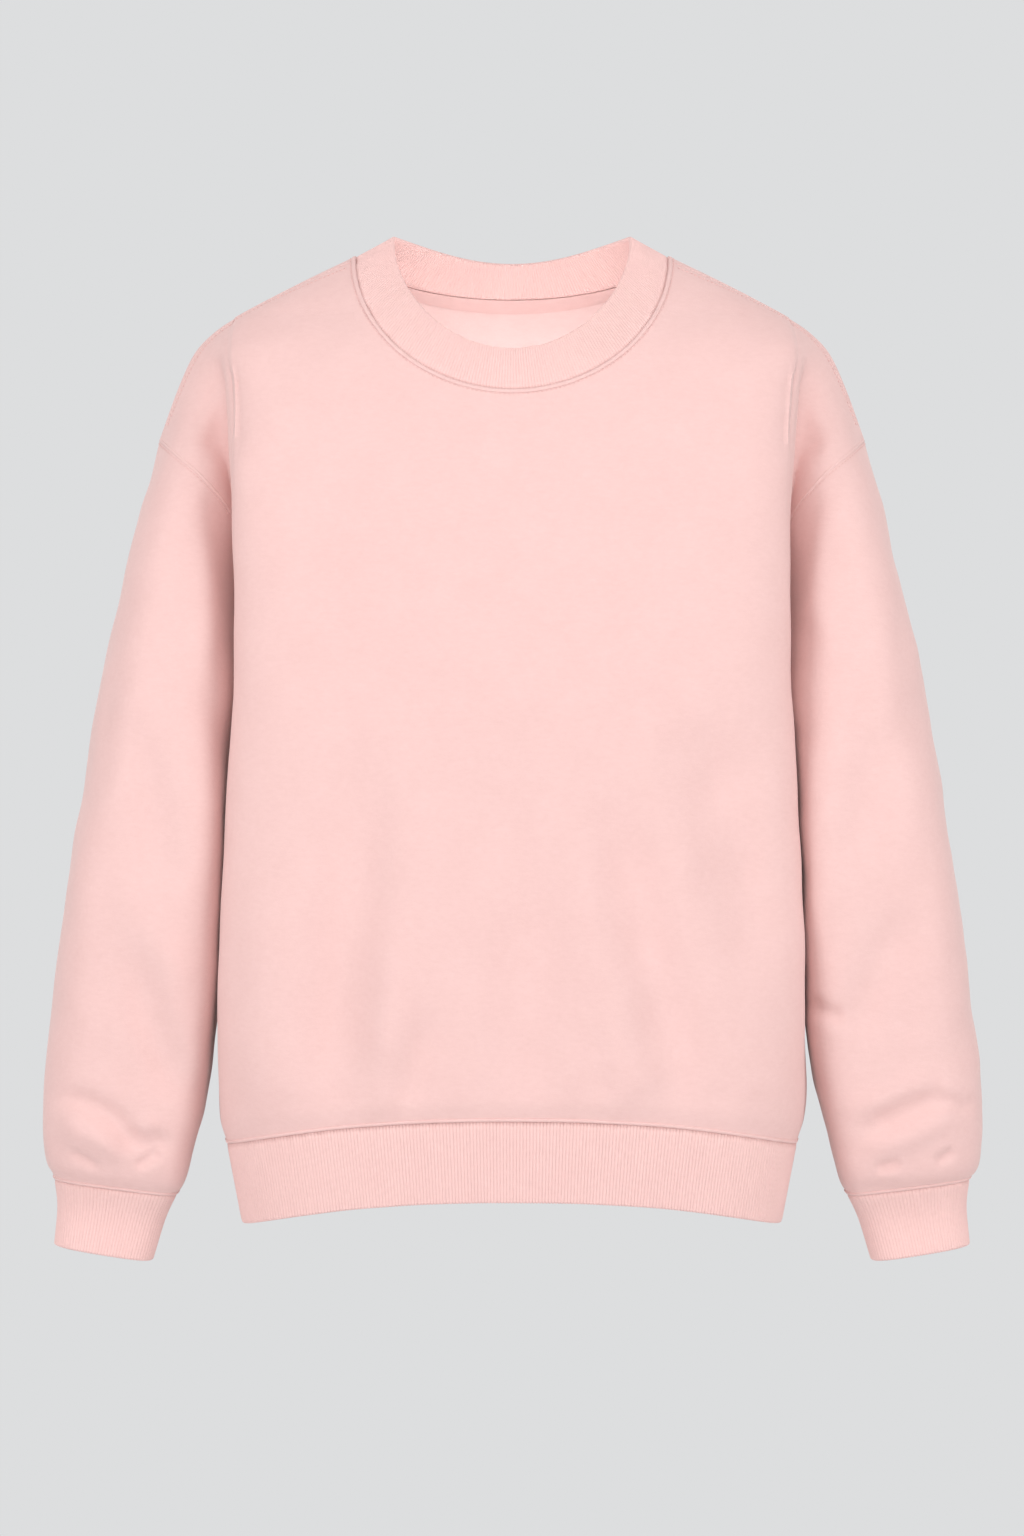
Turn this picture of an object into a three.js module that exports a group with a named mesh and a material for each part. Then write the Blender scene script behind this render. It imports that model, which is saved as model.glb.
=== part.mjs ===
// A crewneck sweatshirt with dropped shoulders, filled out as if it were worn: hollow, open at
// the neck, hem and cuffs. Millimetres. +Z is up and the front faces -Y, so +X is the wearer's
// left. The origin lies midway between the two points where the shoulder seams meet the collar.
import * as THREE from "three";

// A table of named columns: the names stand in the heading, one row of numbers below for each
const table = (heading, rows) => {
  const names = heading.split(" ");
  return rows.map((row) => Object.fromEntries(row.map((value, i) => [names[i], value])));
};

// Cloth and seams
const CLOTH = 2.0; // brushed fleece body cloth
const RIB_CLOTH = 2.4; // doubled rib knit
const SEAM_GAP = 0.3;
const RIB_RISE = 0.55;
const RIB_PITCH = { collar: 1.9, hem: 2.35, cuff: 2.4 };
const SHARPEST_MITRE = 0.5; // share of the cloth's thickness kept across the tightest crease

// Body form
const SHOULDER_Y = 3; // depth of the shoulder ridge
const UNDERARM_Z = -318;
const CHEST_DEPTH = 121; // ridge to the fullest part of the front
const CHEST_ROLL = { height: 300, power: 1.8 };
const BACK_DEPTH = 112;
const BACK_ROLL = { height: 190, power: 2.0 };

// Neck: the seam runs round an oval that dips low in front and a little behind
const NECK = { halfWidth: 112.5, frontDrop: 103, backDrop: 25.6, frontPower: 1.0, backPower: 1.3 };
const COLLAR_TOP = {
  halfWidth: 87.3,
  rise: 14.4,
  frontDrop: 88.8,
  backDrop: 16,
  frontPower: 1.12,
  backPower: 2.8,
  frontY: -70,
  backY: 56,
};
const TAPE = { width: 9.5, thickness: 1.0, belowSeam: 1.0, off: 0.9 };

// Hem: the band's lower edge lies one rib height below the seam
const HEM = { sideZ: -635, frontZ: -614.7, backZ: -630, power: 2.4 };
const HEM_BAND = { height: 55.5, halfWidth: 192, frontY: -108, backY: 98, lipY: -26, backLipY: 30 };

// Grid lines: numbers of strips between the named lines of a panel, from the middle outwards
const STRIPS = { frontNeck: 8, backNeck: 6, innerShoulder: 3, outerShoulder: 4, lip: 2, crease: 3 };
const ARMHOLE_ROWS = 10;
const SLEEVE_ROWS = 14;
const LOWER_ROWS = [0, 0.15, 0.3, 0.45, 0.59, 0.72, 0.83, 0.92, 0.975, 1]; // underarm to hem

// The shoulder seam, from the collar out to the top of the armhole
const SHOULDER_LINE = table("x z", [
  [112.5, 0],
  [131.8, -9.4],
  [151.9, -19.4],
  [176, -32],
  [200.2, -45.4],
  [216, -56.5],
  [229.3, -71.3],
  [241.2, -97.2],
  [253.4, -131.0],
]);
const LIP_START = 4; // row of SHOULDER_LINE where the chest fold begins
const ARM_MIDDLE = 6; // row of SHOULDER_LINE above the middle of the arm

// How the front turns in beside the sleeve. down runs from the shoulder seam (0) to the underarm
// (1). The lip is the fold that stands in front of the sleeve, the crease lies behind it, and
// the seam is the armhole.
const FRONT_SIDE = table("down lipX lipY lipZ creaseX creaseY creaseZ seamX seamY seamZ", [
  [0.0, 200.2, 3, -45.4, 229.3, 3, -71.3, 253.4, 3, -131],
  [0.15, 202, -40, -74, 213, -29, -92, 239, -37, -144],
  [0.3, 198, -58, -112, 205.5, -36, -124, 217, -48, -163],
  [0.45, 196, -66, -152, 199.5, -37, -166, 197, -31, -190],
  [0.6, 195.5, -67, -200, 195, -38, -212, 186, -13, -228],
  [0.8, 195.5, -68, -258, 191, -36, -265, 178, 3, -275],
  [1.0, 196.5, -68, -318, 188, -30, -318, 172, 18, -318],
]);
const BACK_SIDE = table("down lipX lipY lipZ creaseX creaseY creaseZ seamX seamY seamZ", [
  [0.0, 200.2, 3, -45.4, 229.3, 3, -71.3, 253.4, 3, -131],
  [0.15, 205, 42, -76, 226, 34, -102, 244, 36, -148],
  [0.3, 204, 60, -112, 217, 49, -138, 229, 52, -171],
  [0.45, 200, 68, -155, 207, 55, -177, 211, 54, -200],
  [0.6, 195, 70, -200, 197, 56, -218, 196, 46, -236],
  [0.8, 191, 69, -258, 187, 50, -268, 182, 33, -280],
  [1.0, 189, 66, -318, 181, 43, -318, 172, 18, -318],
]);

// Level sections of the body below the underarm
const BODY = table("z lipX lipY frontY sideX sideY backLipX backLipY backY", [
  [-318, 196.5, -68, -118, 172, 18, 189, 66, 115],
  [-390, 201.5, -66, -119.5, 177, 16, 194, 66, 115.5],
  [-460, 205, -62, -121, 185, 14, 198, 62, 115],
  [-530, 207, -56, -122.5, 196, 12, 203, 55, 114],
  [-590, 208, -45, -123, 206.5, 8, 205.5, 45, 113],
  [-618, 207, -38, -121.5, 206.5, 5, 204.5, 38, 111],
  [-635, 202, -35, -115.5, 201.5, 4, 200.5, 35, 106],
]);
const SQUARENESS = { top: 2.3, body: 2.75, cap: 2.25, sleeve: 2.7, cuff: 2.5 }; // 2 is an ellipse
const INNER_CORNER = 0.9; // how much squarer a sleeve is beside the body, in front
const SEAM_PULL = 1.6; // rows of the sleeve table that the armhole seam draws in

// Rings of a sleeve and of its cuff. Each is an oval through an outer and an inner point.
const SLEEVE = table("outerX outerZ innerX innerZ midY halfDepth", [
  [253.4, -131, 172, -318, 6, 61],
  [264.5, -178, 187, -330, 1, 70],
  [277.5, -228, 197, -352, -3, 74],
  [290, -286, 200.5, -380, -6, 75],
  [301.5, -348, 202.5, -414, -8, 74],
  [311, -406, 204, -454, -9, 72],
  [319.3, -462, 206, -496, -10, 68],
  [326.3, -518, 209.5, -538, -10, 63],
  [332.3, -568, 215, -580, -10, 58],
  [335, -604, 221.5, -612, -10, 54],
  [336, -632, 228.5, -640, -9, 49],
  [334, -652, 234.5, -662, -8, 43],
  [328, -663, 240.5, -674, -6, 34],
]);
const CUFF = table("outerX outerZ innerX innerZ midY halfDepth", [
  [328, -663, 240.5, -674, -6, 34],
  [326, -683, 249, -692, -6, 27],
  [328, -708.5, 257.5, -720, -9, 25],
]);

// Soft folds that hang in the cloth. Each runs from its high end to its low end, measured in the
// front view, as a trough (depth over 0) or a ridge (under 0), across its width.
const FRONT_FOLDS = table("topX topZ lowX lowZ width depth", [
  [-91, -364, -131, -625, 20, 3.2],
  [-58, -530, -61, -622, 12, 1.8],
  [29, -445, 2, -622, 16, 2.6],
  [81, -385, 128, -626, 20, 4.0],
  [133, -335, 184, -590, 20, 2.8],
  [105, -360, 156, -600, 22, -2.4],
]);
const BACK_FOLDS = table("topX topZ lowX lowZ width depth", [
  [-120, -300, -150, -620, 22, 3.4],
  [-42, -420, -56, -624, 18, 2.6],
  [22, -380, 34, -624, 20, 3.0],
  [112, -320, 138, -620, 22, 3.6],
]);
// Folds of the right-hand sleeve as seen from the front. turn is the place round the sleeve, from
// 0 on the outside through 90 in front to 180 beside the body.
const SLEEVE_FOLDS = table("topTurn topZ lowTurn lowZ width depth", [
  [62, -350, 120, -520, 15, 2.6],
  [50, -470, 118, -590, 14, 2.6],
  [20, -618, 92, -632, 12, 3.2],
  [112, -640, 150, -628, 9, 2.4],
  [240, -500, 300, -610, 15, 3.0],
  [225, -628, 320, -624, 11, 3.0],
]);

// Cloth colours
const PINK = 0xf9cfca;
const PINK_RIB = 0xf8cbc6;

const lerp = (a, b, t) => a + (b - a) * t;
const clamp01 = (t) => Math.min(1, Math.max(0, t));
const smooth = (t) => clamp01(t) ** 2 * (3 - 2 * clamp01(t));
const radians = THREE.MathUtils.degToRad;
const point = (x, y, z) => new THREE.Vector3(x, y, z);

// A smooth curve through the rows of a table: key names the column that runs along it, and the
// result gives every other column at a value of that one.
function through(table, key) {
  const keys = table.map((row) => row[key]);
  const slope = (column, i) => {
    const before = Math.max(0, i - 1);
    const after = Math.min(table.length - 1, i + 1);
    return (table[after][column] - table[before][column]) / (keys[after] - keys[before]);
  };
  const rising = keys[keys.length - 1] > keys[0];
  return (value, column) => {
    let i = 0;
    while (i < keys.length - 2 && (rising ? value > keys[i + 1] : value < keys[i + 1])) i++;
    const span = keys[i + 1] - keys[i];
    const t = clamp01((value - keys[i]) / span);
    const [a, b] = [table[i][column], table[i + 1][column]];
    return (
      a * (1 + 2 * t) * (1 - t) ** 2 +
      b * t * t * (3 - 2 * t) +
      span * (slope(column, i) * t * (1 - t) ** 2 - slope(column, i + 1) * t * t * (1 - t))
    );
  };
}

const numbered = (table) => table.map((row, index) => ({ index, ...row }));
const shoulderLine = through(numbered(SHOULDER_LINE), "index");
const ridgeAtHeight = through(SHOULDER_LINE, "z");
const body = through(BODY, "z");
const frontSide = through(FRONT_SIDE, "down");
const backSide = through(BACK_SIDE, "down");
const sleeveRing = through(numbered(SLEEVE), "index");
const cuffRing = through(numbered(CUFF), "index");
const frontLip = through(FRONT_SIDE, "lipZ");
const backLip = through(BACK_SIDE, "lipZ");

const shoulderPoint = (index) =>
  point(shoulderLine(index, "x"), SHOULDER_Y, shoulderLine(index, "z"));

// Everything that differs between the front panel and the back panel
const FRONT = {
  sign: -1,
  side: frontSide,
  lip: frontLip,
  folds: FRONT_FOLDS,
  neckStrips: STRIPS.frontNeck,
  neckDrop: NECK.frontDrop,
  neckPower: NECK.frontPower,
  depth: CHEST_DEPTH,
  roll: CHEST_ROLL,
  hemZ: HEM.frontZ,
  columns: { middleY: "frontY", lipX: "lipX", lipY: "lipY" },
};
const BACK = {
  sign: 1,
  side: backSide,
  lip: backLip,
  folds: BACK_FOLDS,
  neckStrips: STRIPS.backNeck,
  neckDrop: NECK.backDrop,
  neckPower: NECK.backPower,
  depth: BACK_DEPTH,
  roll: BACK_ROLL,
  hemZ: HEM.backZ,
  columns: { middleY: "backY", lipX: "backLipX", lipY: "backLipY" },
};

// How far a panel has rolled forward (0 to 1) at a drop below the shoulder's top
function roll({ height, power }, drop) {
  return (1 - (1 - clamp01(drop / height)) ** power) ** (1 / power);
}

// A panel's depth at a place in the front view, between its middle and its lip
function panelY(panel, x, z) {
  const lipStart = SHOULDER_LINE[LIP_START].z;
  const onRidge = z > lipStart;
  const underarm = z < UNDERARM_Z;
  const { middleY, lipX, lipY } = panel.columns;
  const halfWidth = onRidge ? ridgeAtHeight(z, "x") : underarm ? body(z, lipX) : panel.lip(z, "lipX");
  const edgeY = onRidge ? SHOULDER_Y : underarm ? body(z, lipY) : panel.lip(z, "lipY");
  const middle = underarm
    ? body(z, middleY)
    : SHOULDER_Y + panel.sign * panel.depth * roll(panel.roll, -z);
  const squareness = lerp(SQUARENESS.top, SQUARENESS.body, smooth(-z / 200));
  const fullness = (1 - Math.min(1, Math.abs(x) / halfWidth) ** squareness) ** (1 / squareness);
  return lerp(edgeY, middle, fullness);
}

function neckPoint(panel, turn) {
  const x = NECK.halfWidth * Math.sin(turn);
  const z = -panel.neckDrop * Math.max(0, Math.cos(turn)) ** panel.neckPower;
  return point(x, panelY(panel, x, z), z);
}

// The places of a panel's grid lines across half of it, from its middle to its lip: where each
// starts on the neck or shoulder, and its share of the half width at the underarm
function innerLines(panel) {
  const lines = [];
  const neckShare = 0.43;
  const middleShare = 0.72;
  for (let i = 0; i < panel.neckStrips; i++) {
    const t = i / panel.neckStrips;
    lines.push({ top: neckPoint(panel, (t * Math.PI) / 2), share: neckShare * t });
  }
  for (let i = 0; i < STRIPS.innerShoulder; i++) {
    const t = i / STRIPS.innerShoulder;
    lines.push({ top: shoulderPoint(2 * t), share: lerp(neckShare, middleShare, t) });
  }
  for (let i = 0; i <= STRIPS.outerShoulder; i++) {
    const t = i / STRIPS.outerShoulder;
    const crowded = 1 - (1 - t) ** 1.6; // closer together round the lip
    lines.push({ top: shoulderPoint(2 + 2 * t), share: lerp(middleShare, 1, crowded) });
  }
  return lines;
}

// The point on a line of the panel above the underarm
function upperInnerPoint(panel, line, down) {
  const lipTop = SHOULDER_LINE[LIP_START];
  const lipLow = body(UNDERARM_Z, panel.columns.lipX);
  const z = lerp(line.top.z, UNDERARM_Z, down);
  const lipX = panel.side(down, "lipX");
  const plainLip = lerp(lipTop.x, lipLow, down);
  const nearLip = line.share ** 2;
  const x = lerp(line.top.x, line.share * lipLow, down) * lerp(1, lipX / plainLip, nearLip);
  return line.share === 1
    ? point(lipX, panel.side(down, "lipY"), panel.side(down, "lipZ"))
    : point(x, panelY(panel, x, z), z);
}

function hemSeamZ(panel, share) {
  return lerp(panel.hemZ, HEM.sideZ, share ** HEM.power);
}

// Cubic between b and c, with a and d as the points before and after
function bend(a, b, c, d, t) {
  const part = (axis) => {
    const [p, q, r, s] = [a[axis], b[axis], c[axis], d[axis]];
    return (
      q + 0.5 * t * (r - p + t * (2 * p - 5 * q + 4 * r - s + t * (3 * (q - r) + s - p)))
    );
  };
  return point(part("x"), part("y"), part("z"));
}

// The strips that turn in beside the sleeve, from the lip through the crease to the seam
function sidePoints(before, lip, crease, seam) {
  const beyond = seam.clone().multiplyScalar(2).sub(crease);
  const points = [];
  for (let i = 1; i <= STRIPS.lip; i++) points.push(bend(before, lip, crease, seam, i / STRIPS.lip));
  for (let i = 1; i <= STRIPS.crease; i++) {
    points.push(bend(lip, crease, seam, beyond, i / STRIPS.crease));
  }
  return points;
}

function upperRow(panel, lines, down) {
  const row = lines.map((line) => upperInnerPoint(panel, line, down));
  if (down === 0) {
    const [start, middle, end] = [LIP_START, ARM_MIDDLE, SHOULDER_LINE.length - 1];
    for (let i = 1; i <= STRIPS.lip; i++) row.push(shoulderPoint(lerp(start, middle, i / STRIPS.lip)));
    for (let i = 1; i <= STRIPS.crease; i++) {
      row.push(shoulderPoint(lerp(middle, end, i / STRIPS.crease)));
    }
    return row;
  }
  const at = (name) =>
    point(panel.side(down, name + "X"), panel.side(down, name + "Y"), panel.side(down, name + "Z"));
  const before = row[row.length - 3];
  row.push(...sidePoints(before, at("lip"), at("crease"), at("seam")));
  return row;
}

function lowerRow(panel, lines, share) {
  const { lipX, lipY } = panel.columns;
  const heightAt = (across) => lerp(UNDERARM_Z, hemSeamZ(panel, across), share);
  const row = lines.map((line) => {
    const z = heightAt(line.share);
    const formZ = lerp(UNDERARM_Z, HEM.sideZ, share);
    const x = line.share * body(formZ, lipX);
    return point(x, panelY(panel, x, formZ), z);
  });
  const sideZ = heightAt(1);
  const lip = point(body(sideZ, lipX), body(sideZ, lipY), sideZ);
  const seam = point(body(sideZ, "sideX"), body(sideZ, "sideY"), sideZ);
  const crease = point(lerp(lip.x, seam.x, 0.35), lerp(lip.y, seam.y, 0.44), sideZ);
  row[row.length - 1] = lip;
  row.push(...sidePoints(row[row.length - 3], lip, crease, seam));
  return row;
}

// Both halves of a row, left to right, from its right half
const mirrored = (row) => [
  ...row
    .slice(1)
    .reverse()
    .map((p) => point(-p.x, p.y, p.z)),
  ...row,
];

// How far a fold pushes the cloth in at a place (across, z), its ends faded out
function foldDepth(fold, across, z, startAcross, endAcross) {
  const run = { x: endAcross - startAcross, z: fold.lowZ - fold.topZ };
  const length = Math.hypot(run.x, run.z);
  const along = ((across - startAcross) * run.x + (z - fold.topZ) * run.z) / length ** 2;
  const off = ((across - startAcross) * run.z - (z - fold.topZ) * run.x) / length;
  const ends = smooth((along + 0.1) / 0.5) * smooth((1.12 - along) / 0.3);
  return fold.depth * ends * Math.exp(-((off / fold.width) ** 2));
}

function foldPanel(panel, rows) {
  return rows.map((row) =>
    row.map((p) => {
      const push = panel.folds.reduce((sum, f) => sum + foldDepth(f, p.x, p.z, f.topX, f.lowX), 0);
      const hemFade = smooth((p.z - panel.hemZ + 4) / 30);
      const sideFade = smooth((205 - Math.abs(p.x)) / 40);
      return point(p.x, p.y - panel.sign * push * lerp(0.45, 1, hemFade) * sideFade, p.z);
    }),
  );
}

// A panel's outer surface, rows from the hem up to the shoulder and neck
function panelRows(panel) {
  const lines = innerLines(panel);
  const rows = LOWER_ROWS.slice(1)
    .reverse()
    .map((share) => lowerRow(panel, lines, share));
  for (let i = ARMHOLE_ROWS; i >= 0; i--) rows.push(upperRow(panel, lines, i / ARMHOLE_ROWS));
  return foldPanel(panel, rows.map(mirrored));
}

// A point on an oval ring
function ovalPoint(ring, index, turn, squareness) {
  const at = (column) => ring(index, column);
  const across = Math.cos(turn);
  const isInnerFront = Math.sin(turn) > 0 && across < 0;
  const corner = isInnerFront ? INNER_CORNER * (squareness - 2) : 0;
  const power = squareness + corner;
  const fullness = (1 - Math.min(1, Math.abs(across)) ** power) ** (1 / power);
  const along = (1 + across) / 2;
  return point(
    lerp(at("innerX"), at("outerX"), along),
    at("midY") - at("halfDepth") * fullness * Math.sign(Math.sin(turn)),
    lerp(at("innerZ"), at("outerZ"), along),
  );
}

// The armhole of the +X side, from the shoulder round the front to the underarm and up the back
function armhole(frontRows, backRows) {
  const lowest = LOWER_ROWS.length - 1;
  const edge = (rows) => rows.slice(lowest).map((row) => row[row.length - 1]);
  return [...edge(frontRows).reverse(), ...edge(backRows).slice(1, -1)];
}

// Where each armhole point lies round the sleeve
function turnsOf(loop) {
  const [top, low] = [loop[0], loop[ARMHOLE_ROWS]];
  const fall = low.clone().sub(top).setY(0);
  return loop.map((p, i) => {
    const share = p.clone().sub(top).setY(0).dot(fall) / fall.lengthSq();
    const turn = Math.acos(1 - 2 * clamp01(share));
    return i <= ARMHOLE_ROWS ? turn : 2 * Math.PI - turn;
  });
}

function sleeveRows(loop) {
  const seamTurns = turnsOf(loop);
  const last = SLEEVE.length - 1;
  const rows = [];
  for (let i = 0; i <= SLEEVE_ROWS; i++) {
    const index = last * (i / SLEEVE_ROWS) ** 1.25;
    const pull = (1 - Math.min(1, index / SEAM_PULL)) ** 2;
    const squareness = lerp(SQUARENESS.cap, SQUARENESS.sleeve, smooth((index - 0.8) / 2.5));
    rows.push(
      loop.map((seamPoint, k) => {
        const even = (2 * Math.PI * k) / loop.length;
        const turn = lerp(seamTurns[k], even, smooth(index / 6));
        const ideal = ovalPoint(sleeveRing, 0, seamTurns[k], SQUARENESS.cap);
        const offset = seamPoint.clone().sub(ideal);
        const p = ovalPoint(sleeveRing, index, turn, squareness).addScaledVector(offset, pull);
        return foldSleeve(p, turn, index);
      }),
    );
  }
  return rows;
}

// A sleeve point with the folds pushed in, towards the middle of its ring
function foldSleeve(p, turn, index) {
  const middle = (sleeveRing(index, "outerX") + sleeveRing(index, "innerX")) / 2;
  const girth = sleeveRing(index, "halfDepth");
  const push = SLEEVE_FOLDS.reduce((sum, fold) => {
    const [start, end] = [radians(fold.topTurn) * girth, radians(fold.lowTurn) * girth];
    return sum + foldDepth(fold, turn * girth, p.z, start, end);
  }, 0);
  const inward = point(middle - p.x, sleeveRing(index, "midY") - p.y, 0).normalize();
  const fade = smooth(index / 3) * smooth((SLEEVE.length - 1 - index) / 1.2);
  return p.addScaledVector(inward, push * fade);
}

const mirrorRows = (rows) => rows.map((row) => row.map((p) => point(-p.x, p.y, p.z)));

// A piece of cloth before it has thickness: rows of points on its outer face, with an outward
// normal at each. closed says that each row is a ring. flip turns the normals round.
function surface(name, rows, { closed = false, flip = false, thickness = CLOTH } = {}) {
  const count = rows[0].length;
  const at = (i, j) => rows[i][closed ? (j + count) % count : THREE.MathUtils.clamp(j, 0, count - 1)];
  const normals = rows.map((row, i) =>
    row.map((_, j) => {
      const along = at(i, j + 1).clone().sub(at(i, j - 1));
      const up = at(Math.min(rows.length - 1, i + 1), j).clone().sub(at(Math.max(0, i - 1), j));
      const normal = along.cross(up).normalize();
      return flip ? normal.negate() : normal;
    }),
  );
  return {
    name,
    rows,
    closed,
    flip,
    thickness,
    normals,
    edge: new Map(), // "row,column" to the shift and the wall direction of a point on a seam
  };
}

const corner = (piece, i, j) => ({ piece, i, j, point: piece.rows[i][j], normal: piece.normals[i][j] });

// Sets pieces a seam gap apart along the lines that they share, and mitres their walls there.
// A seam is two equal lists of corners. Corners of several seams may coincide.
function joinSeams(seams) {
  const meeting = new Map();
  const keyOf = (p) => [p.x, p.y, p.z].map((v) => Math.round(v * 20)).join();
  for (const [left, right] of seams) {
    for (const c of [...left, ...right]) {
      const key = keyOf(c.point);
      const found = meeting.get(key) ?? new Map();
      found.set(c.piece.name + c.i + "," + c.j, c.normal);
      meeting.set(key, found);
    }
  }
  const wallAt = (p) => {
    const met = [...meeting.get(keyOf(p)).values()];
    const sum = met.reduce((total, n) => total.add(n), new THREE.Vector3()).divideScalar(met.length);
    return sum.clone().normalize().divideScalar(Math.max(SHARPEST_MITRE, sum.length()));
  };
  for (const [left, right] of seams) {
    left.forEach((c, k) => {
      const next = left[Math.min(left.length - 1, k + 1)].point;
      const last = left[Math.max(0, k - 1)].point;
      const wall = wallAt(c.point);
      const apart = next.clone().sub(last).cross(wall).normalize();
      for (const own of [c, right[k]]) {
        const { piece, i, j } = own;
        const key = i + "," + j;
        const inner = inwardPoint(own);
        const side = Math.sign(inner.clone().sub(own.point).dot(apart)) || 1;
        const edge = piece.edge.get(key) ?? { shift: new THREE.Vector3(), wall };
        edge.shift.addScaledVector(apart, (side * SEAM_GAP) / 2);
        edge.wall = wall;
        piece.edge.set(key, edge);
      }
    });
  }
}

// The middle of the strips next to a corner, which tells which side of the seam its piece is on
function inwardPoint({ piece, i, j }) {
  const last = { i: piece.rows.length - 1, j: piece.rows[0].length - 1 };
  const nextI = i === 0 ? 1 : i === last.i ? last.i - 1 : i;
  const nextJ = piece.closed ? j : j === 0 ? 1 : j === last.j ? last.j - 1 : j;
  return piece.rows[nextI][nextJ];
}

const outerPoint = (piece, i, j) => {
  const edge = piece.edge.get(i + "," + j);
  return edge ? piece.rows[i][j].clone().add(edge.shift) : piece.rows[i][j].clone();
};
const wallDirection = (piece, i, j) => piece.edge.get(i + "," + j)?.wall ?? piece.normals[i][j];
const innerPoint = (piece, i, j) =>
  outerPoint(piece, i, j).addScaledVector(wallDirection(piece, i, j), -piece.thickness);

// Collects triangles and turns them into a geometry
class Faces {
  constructor(flip) {
    this.flip = flip;
    this.positions = [];
  }
  triangle(a, b, c) {
    const corners = this.flip ? [a, c, b] : [a, b, c];
    for (const p of corners) this.positions.push(p.x, p.y, p.z);
  }
  quad(a, b, c, d) {
    this.triangle(a, b, c);
    this.triangle(a, c, d);
  }
  // A twisted quad on a seam, folded along the diagonal that lies deeper in the piece
  edgeQuad(a, b, c, d) {
    const outward = b.clone().sub(a).cross(d.clone().sub(a));
    if (this.flip) outward.negate();
    const deeper = a.clone().add(c).dot(outward) < b.clone().add(d).dot(outward);
    if (deeper) this.quad(a, b, c, d);
    else this.quad(b, c, d, a);
  }
  geometry() {
    const made = new THREE.BufferGeometry();
    made.setAttribute("position", new THREE.Float32BufferAttribute(this.positions, 3));
    made.computeVertexNormals();
    return made;
  }
}

// A plain wall: the outer face, the inner face and the edges between them
function wallGeometry(piece) {
  const { rows, closed, flip } = piece;
  const faces = new Faces(flip);
  const height = rows.length - 1;
  const width = closed ? rows[0].length : rows[0].length - 1;
  const wrap = (j) => (closed ? j % rows[0].length : j);
  const outer = rows.map((row, i) => row.map((_, j) => outerPoint(piece, i, j)));
  const inner = rows.map((row, i) => row.map((_, j) => innerPoint(piece, i, j)));
  for (let i = 0; i < height; i++) {
    for (let j = 0; j < width; j++) {
      const [k, n] = [j, wrap(j + 1)];
      faces.quad(outer[i][k], outer[i][n], outer[i + 1][n], outer[i + 1][k]);
      faces.quad(inner[i][k], inner[i + 1][k], inner[i + 1][n], inner[i][n]);
    }
  }
  for (let j = 0; j < width; j++) {
    const [k, n] = [j, wrap(j + 1)];
    faces.edgeQuad(inner[0][k], inner[0][n], outer[0][n], outer[0][k]);
    faces.edgeQuad(outer[height][k], outer[height][n], inner[height][n], inner[height][k]);
  }
  if (!closed) {
    for (let i = 0; i < height; i++) {
      faces.edgeQuad(inner[i][0], outer[i][0], outer[i + 1][0], inner[i + 1][0]);
      faces.edgeQuad(outer[i][width], inner[i][width], inner[i + 1][width], outer[i + 1][width]);
    }
  }
  return faces.geometry();
}

// A ring of rib knit: plain inside, with raised ribs on the outside
function ribbedGeometry(piece, pitch) {
  const { rows, flip } = piece;
  const faces = new Faces(flip);
  const height = rows.length - 1;
  const width = rows[0].length;
  const outer = rows.map((row, i) => row.map((_, j) => outerPoint(piece, i, j)));
  const inner = rows.map((row, i) => row.map((_, j) => innerPoint(piece, i, j)));
  const strips = outer[0].map((p, j) => {
    const next = (j + 1) % width;
    const middle = Math.floor(height / 2);
    const length = outer[middle][j].distanceTo(outer[middle][next]);
    const steps = 2 * Math.max(1, Math.round(length / pitch));
    return rows.map((_, i) =>
      Array.from({ length: steps + 1 }, (_, k) => {
        const t = k / steps;
        const base = outer[i][j].clone().lerp(outer[i][next], t);
        const wall = wallDirection(piece, i, j).clone().lerp(wallDirection(piece, i, next), t);
        return base.addScaledVector(wall.normalize(), k % 2 ? RIB_RISE : 0);
      }),
    );
  });
  strips.forEach((strip, j) => {
    const next = (j + 1) % width;
    const steps = strip[0].length - 1;
    for (let i = 0; i < height; i++) {
      for (let k = 0; k < steps; k++) {
        faces.quad(strip[i][k], strip[i][k + 1], strip[i + 1][k + 1], strip[i + 1][k]);
      }
      faces.quad(inner[i][j], inner[i + 1][j], inner[i + 1][next], inner[i][next]);
    }
    fan(faces, strip[0], inner[0][j], inner[0][next], false);
    fan(faces, strip[height], inner[height][j], inner[height][next], true);
  });
  return faces.geometry();
}

// The edge between a row of ribs and the plain inside, folded as in edgeQuad
function fan(faces, ribs, from, to, upper) {
  const last = ribs.length - 1;
  const outward = ribs[last].clone().sub(ribs[0]).cross(from.clone().sub(ribs[0]));
  if (faces.flip !== !upper) outward.negate();
  const deeper = ribs[0].clone().add(to).dot(outward) < ribs[last].clone().add(from).dot(outward);
  const add = (a, b, c) => (upper ? faces.triangle(a, b, c) : faces.triangle(a, c, b));
  for (let k = 0; k < last; k++) add(ribs[k], ribs[k + 1], deeper ? to : from);
  add(ribs[deeper ? 0 : last], to, from);
}

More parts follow.
